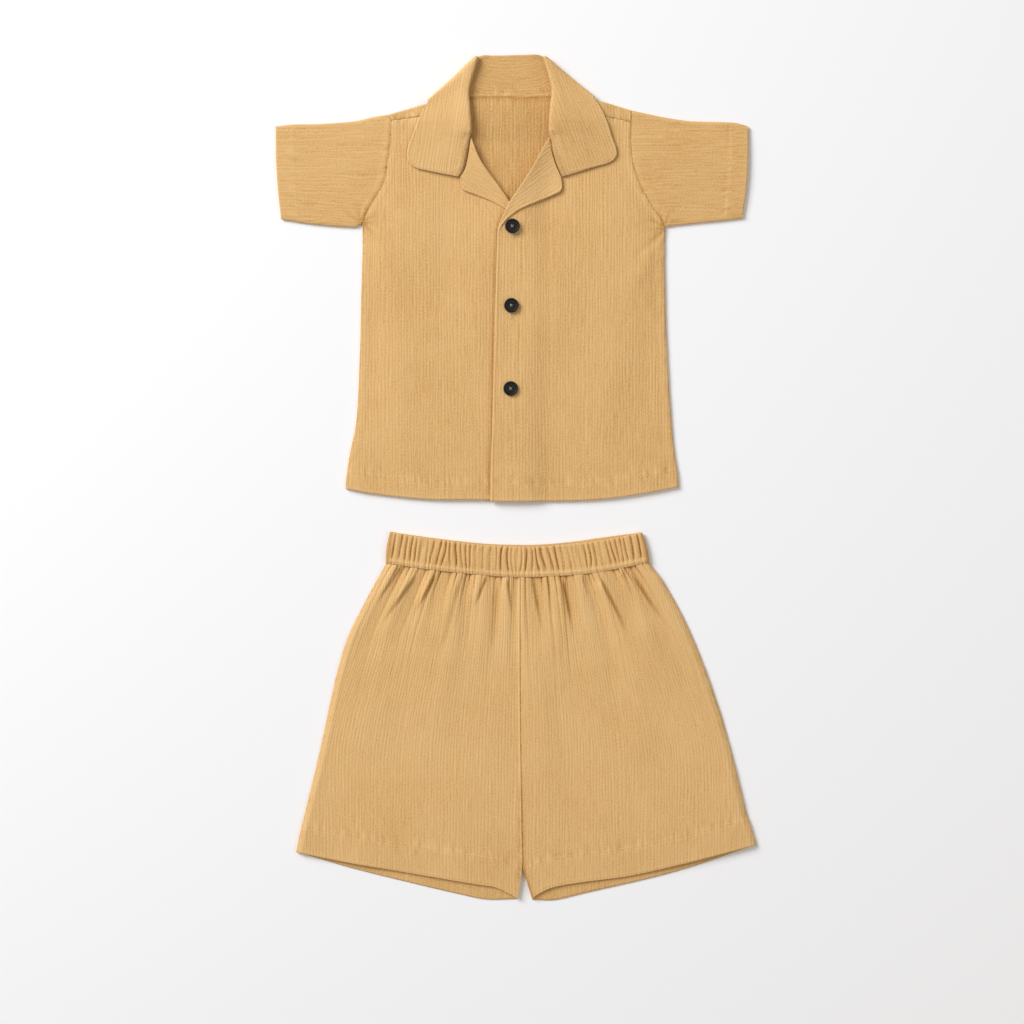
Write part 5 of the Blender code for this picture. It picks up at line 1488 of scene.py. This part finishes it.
def build_waistband():
    """The elastic casing: a flattened ring with uneven pleats, a ridge over its stitching."""
    sizes, seed = bpy.context.scene.pyjama_sizes, SEEDS["waistband"]
    heights = closer_ends(30, BAND_HEIGHT)
    fraction = np.linspace(0, 1, 505)
    low, high = curve(BAND_LOW, fraction), curve(BAND_TOP_FRONT, fraction)
    back_fraction = np.linspace(0, 1, 110)[::-1]
    back_low, back_high = curve(BAND_LOW, back_fraction), curve(BAND_TOP_BACK, back_fraction)
    tall = heights[:, None]
    share = np.broadcast_to(fraction[None], (len(heights), len(fraction)))
    phase = pleat_phase(share, tall)
    nearest = np.floor(phase + 0.5)
    # The pleats that are deep here are also deep in the gathers below
    uneven = lattice(nearest, 0.0, SEEDS["gathers"] + 1)
    strength = np.clip(0.1 + uneven + 0.5 * noise(share * 44, tall * 1.8, seed + 2), 0.05, 1.15)
    groove = (1 - np.abs(np.sin(np.pi * phase))) ** 2.3 * strength
    swell = mix(0.3, 1.0, ramp(tall, 0.13, 0.30)) * mix(1.0, 0.55, ramp(tall, 0.88, 1.0))
    tiny = 0.22 * noise(share * 190.0, tall * 5.0, seed + 5) * bell(tall, 0.09, 0.07)
    grooves = -sizes.pleat_height * groove * swell
    # The pleats' grooves are painted shade, the ridge above the stitching painted light, and the
    # band's lowest edge painted shade.
    relief_and_shade = 0.55 * grooves + 0.42 * bell(tall, 0.115, 0.05) - 0.2 * bell(tall, 0.025, 0.03)
    upright = tall * BAND_HEIGHT
    place = wander(share * 75 * RIB, upright, seed + 3)
    relief_and_shade += tiny + sizes.rib_height * 0.8 * ribs(place, upright, seed + 3)
    relief = relief_and_shade + 0.4 * grooves + 0.35 * swell * np.sin(np.pi * phase) ** 2 + 0.25
    relief = relief + rounded(upright, 0.8, 0.4) + rounded(BAND_HEIGHT - upright, 1.8, 0.9)
    top = band_level() + BAND_WALL / 2
    bulge = BAND_BULGE * np.sin(np.pi * tall)
    front = mix(low[None], high[None], tall[..., None])
    back = mix(back_low[None], back_high[None], tall[..., None])
    left_end = front[:, 0] - np.column_stack([bulge[:, 0], np.zeros(len(heights))])
    right_end = front[:, -1] + np.column_stack([bulge[:, 0], np.zeros(len(heights))])
    keep = slice(6, -6)
    ends = np.minimum(fraction, 1 - fraction)[keep] * 220
    edge_drop = rounded(ends, 6.0, 1.1)[None]
    outside = top + relief[:, keep] + edge_drop
    inside = np.full_like(outside, top - BAND_WALL)
    end_level = np.full(len(heights), BAND_WALL + BAND_SLACK / 2)
    outer, inner = flat_tube(front[:, keep], (outside, inside), back[:, 3:-3], left_end, right_end,
                             np.array([1.0, 0.0]), end_level, BAND_WALL)
    # The band's back layer has a dark tone: painted shade.
    hidden = np.full((len(heights), outer.shape[1] - relief_and_shade[:, keep].shape[1]), -0.6)
    relief = np.concatenate([relief_and_shade[:, keep], hidden], axis=1)
    rest = np.linspace(75, 150, hidden.shape[1])[None] * RIB + np.zeros_like(hidden)
    cloth = cloth_map(np.concatenate([place[:, keep], rest], axis=1), outer[..., 1], 0)
    piece = grid_wall("waistband", outer, inner, cloth, relief, ring=True)
    finish_cloth(piece, "waistband")
    row = np.full(480, np.interp(1.0, heights * BAND_HEIGHT, np.arange(len(heights))))
    line = on_grid(outer, row, np.linspace(4, 488, 480))
    add_stitching("waistband_stitching", [line], length=2.3, pause=0.7, radius=0.2)


def leg_grid(outer_line, hem, inseam, band_start, rows, share):
    """Plan of one leg panel, from the side seam in to the rise and from its hem up to the
    waistband. The band's start is the share of the waistband at the side seam."""
    low = curve(hem, share)
    spot = np.linspace(0, 1, 400)
    rise_at = spot[np.argmin(np.abs(curve(BAND_LOW, spot)[:, 0] - RISE[-1][0]))]
    high = curve(BAND_LOW, mix(band_start, rise_at, share))
    outer = curve(outer_line, rows)
    inner_line = joined(curve(inseam, np.linspace(0, 1, 30)), curve(RISE, np.linspace(0, 1, 60)))
    inner = curve(inner_line, rows)
    outer[0], inner[0] = low[0], low[-1]
    outer[-1], inner[-1] = high[0], high[-1]
    return patch(low, high, outer, inner)


def gather_relief(band_share, top_distance):
    """Gathers under the waistband: the band's grooves carried on down, narrow and deep at the
    stitching, then wider and softer, each fading at its own length, and slow waves."""
    seed = SEEDS["gathers"]
    phase = pleat_phase(band_share, -top_distance / 90.0)
    nearest = np.floor(phase + 0.5)
    length = 8.0 + 54.0 * lattice(nearest, 0.0, seed) ** 1.6
    strength = 0.35 + 0.9 * lattice(nearest, 0.0, seed + 1)
    narrow = mix(2.4, 1.3, ramp(top_distance, 0.0, 30.0))
    groove = (1 - np.abs(np.sin(np.pi * phase))) ** narrow
    fade = np.exp(-(top_distance / length) ** 1.2)
    drift = 1.5 * noise(band_share * 9.0, top_distance / 60, seed + 2)
    waves = np.sin(np.pi * phase * 0.5 + drift) * np.exp(-(top_distance / 60.0) ** 1.5)
    return -2.0 * strength * groove * fade, 0.9 * waves


def build_leg_front(name, outer_line, hem, inseam, band_start, sign):
    """The front of one leg, gathered under the waistband. Returns its stitch line."""
    sizes, seed = bpy.context.scene.pyjama_sizes, SEEDS[name]
    rows, share = closer_ends(175, 290.0), closer_ends(265, 150.0)
    plan = leg_grid(outer_line, hem, inseam, band_start, rows, share)
    x, y = plan[..., 0], plan[..., 1]
    side, rise, low, high = edge_distances(plan)
    x += sign * 0.12 * bell(rise, 0.0, 1.5)
    closed = np.clip(1 - side / 5.0, 0, 1) * (1 - ramp(y, -100, -88))
    middle = mix(shorts_level(y), CLOTH / 2 + LAYER + SIDE_EASE, closed)
    band_share = np.broadcast_to(mix(band_start, 0.507, share)[None], x.shape)
    spread = 1 - 0.24 * ramp(y, -250, -80)
    place = wander((x - 4) / spread, y, seed)
    relief_and_shade = 1.2 * sizes.rib_height * ribs(place, y, seed) * ramp(rise, 0.5, 2.5)
    relief_and_shade += seam_relief(side, y, seed + 11)
    relief_and_shade += hem_relief(low, x, SHORTS_HEM, seed + 13, height=0.3, sunk=0.36)
    sewn = 1 - ramp(y, -150, -115)
    # A painted pale line along the rise seam, stronger on the wearer's right leg, painted shade
    # beside it on the left leg, and the puckers' tone as painted shade and light.
    relief_and_shade += (0.12 + 0.26 * (sign > 0)) * bell(rise, 0.0, 1.1)
    relief_and_shade -= 0.34 * sewn * bell(rise, 1.2, 0.9) * (sign < 0)
    relief_and_shade += 0.12 * noise(y / 3.4, rise / 8, seed + 14) * bell(rise, 0.0, 5.0) * sewn
    gathers, waves = gather_relief(band_share, high)
    folds, shade = steep_folds(x, y, SHORTS_FOLDS + SHORTS_CREASES)
    relief = relief_and_shade + 0.65 * gathers + waves + 1.35 * folds - 0.4 * shade
    relief += 0.55 * noise(x / 26, y / 70, SEEDS["shorts_waves"]) + hem_turn(low, SHORTS_HEM)
    relief += rounded(low) + rounded(side, 0.8, 0.4) + rounded(high, 0.5, 0.2)
    # Painted shade in the gathers, most just under the band, painted shade and light along the slow
    # waves, painted shade in the folds' creases, and the whole front a little paler.
    relief_and_shade += (0.2 + 0.4 * bell(high, 0.0, 9.0)) * gathers + 0.22 * waves - 0.72 * shade + 0.12
    # Painted shade along the inner legs below the crotch.
    relief_and_shade -= 0.6 * bell(rise, 0.0, 3.0) * (1 - ramp(y, -290, -240))
    top, under = panel_sides(plan, middle, relief, CLOTH)
    piece = panel_wall(name, top, under, cloth_map(place, y, seed % 10), relief_and_shade)
    finish_cloth(piece, name)
    return [hem_stitch_line(top, low, SHORTS_HEM)]


def build_leg_back(name, outer_line, hem, inseam, band_start):
    """The back of one leg, whose hem shows below the front's."""
    sizes, seed = bpy.context.scene.pyjama_sizes, SEEDS[name]
    rows = np.concatenate([closer_ends(35, 290.0)[:4], np.linspace(0.01, 0.14, 32),
                           np.linspace(0.15, 1, 37)])
    plan = leg_grid(outer_line, hem, inseam, band_start, rows, closer_ends(121, 150.0))
    x, y = plan[..., 0], plan[..., 1]
    side, _, low, _ = edge_distances(plan)
    place = wander(x, y, seed)
    relief = 0.5 * sizes.rib_height * ribs(place, y, seed) * (1 - ramp(low, 30, 60))
    relief += rounded(side) + rounded(low)
    top = np.dstack([plan, CLOTH + relief])
    under = np.dstack([plan, np.zeros(x.shape)])
    # The back's tone is a little darker: painted shade under the front.
    piece = panel_wall(name, top, under, cloth_map(place, y, seed % 10), relief - 0.12)
    finish_cloth(piece, name)


def build_shorts_fronts():
    """Both leg fronts and their hem stitching."""
    lines = build_leg_front("shorts_front_right", OUTER_RIGHT, FRONT_HEM_RIGHT,
                            INSEAM_RIGHT, 0.0, 1)
    lines += build_leg_front("shorts_front_left", OUTER_LEFT, FRONT_HEM_LEFT,
                             INSEAM_LEFT, 1.0, -1)
    add_stitching("shorts_hem_stitching", lines)


def build_shorts_backs():
    """Both leg backs."""
    build_leg_back("shorts_back_right", OUTER_RIGHT, BACK_HEM_RIGHT, INSEAM_RIGHT, 0.0)
    build_leg_back("shorts_back_left", OUTER_LEFT, BACK_HEM_LEFT, INSEAM_LEFT, 1.0)


# ---- Stage ----

def add_softbox(name, place, aim, size, power, colour):
    """Square soft light that points at a place."""
    light = bpy.data.lights.new(name, "AREA")
    light.shape = "SQUARE"
    light.size = size
    light.energy = power
    light.color = colour
    made = bpy.data.objects.new(name, light)
    bpy.context.scene.collection.objects.link(made)
    made.location = place
    way = np.array(aim) - np.array(place)
    flat = np.hypot(way[0], way[1])
    made.rotation_euler = (np.arctan2(flat, -way[2]), 0.0, np.arctan2(way[1], way[0]) - np.pi / 2)


def build_stage():
    """Pale floor, soft lights and a camera that looks straight down at the set."""
    scene = bpy.context.scene
    scene.view_settings.view_transform = "Standard"
    stage = scene.pyjama_stage
    half, depth = 3000.0, 0.3
    corners = [(-half, -half, -depth), (half, -half, -depth), (half, half, -depth),
               (-half, half, -depth)]
    floor = new_mesh("floor", corners, [np.array([[0, 1, 2, 3]])])
    pale, _, shader = new_material("pale_floor")
    shader.inputs["Base Color"].default_value = (*stage.floor, 1.0)
    shader.inputs["Roughness"].default_value = 0.9
    floor.data.materials.append(pale)
    world = bpy.data.worlds.new("studio")
    world.use_nodes = True
    even_light = world.node_tree.nodes["Background"]
    even_light.inputs["Color"].default_value = (1.0, 0.955, 0.885, 1.0)
    even_light.inputs["Strength"].default_value = stage.ambient
    scene.world = world
    add_softbox("key", (-2.6, 2.1, 2.3), (0.0, 0.0, 0.0), 2.1, stage.key, (0.93, 0.945, 1.0))
    add_softbox("fill", (1.7, -0.6, 2.2), (0.0, 0.0, 0.0), 1.6, stage.fill, (1.0, 1.0, 1.0))
    camera = bpy.data.cameras.new("camera")
    camera.lens = 85.0
    camera.sensor_width = 36.0
    camera.clip_end = 50.0
    made = bpy.data.objects.new("camera", camera)
    scene.collection.objects.link(made)
    made.location = (-0.0031, -0.0294, stage.camera_height)
    made.rotation_euler = (0.0, 0.0, 0.0)
    scene.camera = made


# ---- Sizes, colours and buttons of the add-on ----

def size_setting(name, description, default, smallest, largest, **unit):
    """Setting of one number."""
    return FloatProperty(name=name, description=description, default=default,
                         min=smallest, max=largest, **unit)


def colour_setting(name, description, default):
    """Setting of one colour."""
    return FloatVectorProperty(name=name, description=description, subtype="COLOR", size=3,
                               min=0.0, max=1.0, default=default)


class PyjamaSizes(PropertyGroup):
    """Sizes of the relief and the stitches, in mm"""
    rib_height: size_setting("Rib height", "Height of the gauze's crinkle, in mm",
                             0.075, 0.0, 1.0)
    pleat_height: size_setting("Pleat height", "Height of the waistband's pleats, in mm",
                               1.7, 0.0, 3.0)
    stitch: size_setting("Stitch length", "Length of one stitch, in mm", 2.2, 0.5, 6.0)
    stitch_pause: size_setting("Stitch pause", "Space between two stitches, in mm",
                               0.7, 0.1, 4.0)
    thread: size_setting("Thread radius", "Radius of the sewing thread, in mm", 0.21, 0.05, 1.0)


class PyjamaColours(PropertyGroup):
    """Colours of the cloth, thread and buttons"""
    gauze: colour_setting("Gauze", "Colour of the gauze", (0.735, 0.452, 0.182))
    # Deep gauze is painted shade in creases, seams and rib valleys, and the darker threads of the
    # cloth; pale gauze is painted light on ridges, and the paler threads and slubs.
    gauze_deep: colour_setting("Deep gauze", "Gauze in creases and seams", (0.50, 0.255, 0.072))
    gauze_pale: colour_setting("Pale gauze", "Gauze on ridges and slubs", (0.83, 0.555, 0.265))
    thread: colour_setting("Thread", "Colour of the sewing thread", (0.86, 0.63, 0.32))
    button: colour_setting("Button", "Colour of the buttons", (0.0092, 0.0088, 0.0084))
    button_thread: colour_setting("Button thread", "Thread through the buttons",
                                  (0.36, 0.31, 0.23))


class PyjamaStage(PropertyGroup):
    """Floor, lights and camera"""
    floor: colour_setting("Floor", "Colour of the floor", (0.96, 0.96, 0.96))
    ambient: size_setting("Ambient", "Strength of the even light", 0.36, 0.0, 5.0)
    key: size_setting("Key power", "Power of the main soft light", 174.0, 0.0, 2000.0,
                      subtype="POWER", unit="POWER")
    fill: size_setting("Fill power", "Power of the second soft light", 10.0, 0.0, 2000.0,
                       subtype="POWER", unit="POWER")
    camera_height: size_setting("Camera height", "Height of the camera above the floor",
                                2.059, 0.5, 10.0, subtype="DISTANCE", unit="LENGTH")


class PYJAMA_OT_stage(Operator):
    """Make the floor, lights and camera"""
    bl_idname = "pyjama.stage"
    bl_label = "Stage"

    def execute(self, context):
        build_stage()
        return {"FINISHED"}


class PYJAMA_OT_shirt_back(Operator):
    """Make the shirt's back"""
    bl_idname = "pyjama.shirt_back"
    bl_label = "Shirt back"

    def execute(self, context):
        build_shirt_back()
        return {"FINISHED"}


class PYJAMA_OT_shirt_fronts(Operator):
    """Make the shirt's two fronts"""
    bl_idname = "pyjama.shirt_fronts"
    bl_label = "Shirt fronts"

    def execute(self, context):
        build_shirt_fronts()
        return {"FINISHED"}


class PYJAMA_OT_sleeves(Operator):
    """Make both sleeves"""
    bl_idname = "pyjama.sleeves"
    bl_label = "Sleeves"

    def execute(self, context):
        build_sleeves()
        return {"FINISHED"}


class PYJAMA_OT_collar(Operator):
    """Make the collar"""
    bl_idname = "pyjama.collar"
    bl_label = "Collar"

    def execute(self, context):
        build_collar()
        return {"FINISHED"}


class PYJAMA_OT_lapels(Operator):
    """Make both lapels"""
    bl_idname = "pyjama.lapels"
    bl_label = "Lapels"

    def execute(self, context):
        build_lapels()
        return {"FINISHED"}


class PYJAMA_OT_buttons(Operator):
    """Make the buttons and buttonholes"""
    bl_idname = "pyjama.buttons"
    bl_label = "Buttons"

    def execute(self, context):
        build_buttons()
        return {"FINISHED"}


class PYJAMA_OT_waistband(Operator):
    """Make the shorts' waistband"""
    bl_idname = "pyjama.waistband"
    bl_label = "Waistband"

    def execute(self, context):
        build_waistband()
        return {"FINISHED"}


class PYJAMA_OT_shorts_fronts(Operator):
    """Make the fronts of the shorts"""
    bl_idname = "pyjama.shorts_fronts"
    bl_label = "Shorts fronts"

    def execute(self, context):
        build_shorts_fronts()
        return {"FINISHED"}


class PYJAMA_OT_shorts_backs(Operator):
    """Make the backs of the shorts"""
    bl_idname = "pyjama.shorts_backs"
    bl_label = "Shorts backs"

    def execute(self, context):
        build_shorts_backs()
        return {"FINISHED"}


OPERATORS = (PYJAMA_OT_stage, PYJAMA_OT_shirt_back, PYJAMA_OT_shirt_fronts, PYJAMA_OT_sleeves,
             PYJAMA_OT_collar, PYJAMA_OT_lapels, PYJAMA_OT_buttons, PYJAMA_OT_waistband,
             PYJAMA_OT_shorts_fronts, PYJAMA_OT_shorts_backs)


class PYJAMA_PT_panel(Panel):
    """Lists the pieces of the pyjama set with their sizes and colours"""
    bl_idname = "PYJAMA_PT_panel"
    bl_label = "Pyjama set"
    bl_space_type = "VIEW_3D"
    bl_region_type = "UI"
    bl_category = "Pyjamas"

    def draw(self, context):
        scene = context.scene
        for group in (scene.pyjama_sizes, scene.pyjama_colours, scene.pyjama_stage):
            box = self.layout.box()
            for name in group.__annotations__:
                box.prop(group, name)
        for operator in OPERATORS:
            self.layout.operator(operator.bl_idname)


CLASSES = (PyjamaSizes, PyjamaColours, PyjamaStage, *OPERATORS, PYJAMA_PT_panel)


def register():
    """Registers the add-on's classes and the scene's settings."""
    for each in CLASSES:
        bpy.utils.register_class(each)
    bpy.types.Scene.pyjama_sizes = PointerProperty(type=PyjamaSizes)
    bpy.types.Scene.pyjama_colours = PointerProperty(type=PyjamaColours)
    bpy.types.Scene.pyjama_stage = PointerProperty(type=PyjamaStage)


def unregister():
    """Removes the scene's settings and the add-on's classes."""
    del bpy.types.Scene.pyjama_stage
    del bpy.types.Scene.pyjama_colours
    del bpy.types.Scene.pyjama_sizes
    for each in reversed(CLASSES):
        bpy.utils.unregister_class(each)


def main():
    """Makes every piece through its operator."""
    register()
    bpy.ops.pyjama.stage()
    bpy.ops.pyjama.shirt_back()
    bpy.ops.pyjama.shirt_fronts()
    bpy.ops.pyjama.sleeves()
    bpy.ops.pyjama.collar()
    bpy.ops.pyjama.lapels()
    bpy.ops.pyjama.buttons()
    bpy.ops.pyjama.waistband()
    bpy.ops.pyjama.shorts_fronts()
    bpy.ops.pyjama.shorts_backs()


if __name__ == "__main__":
    main()
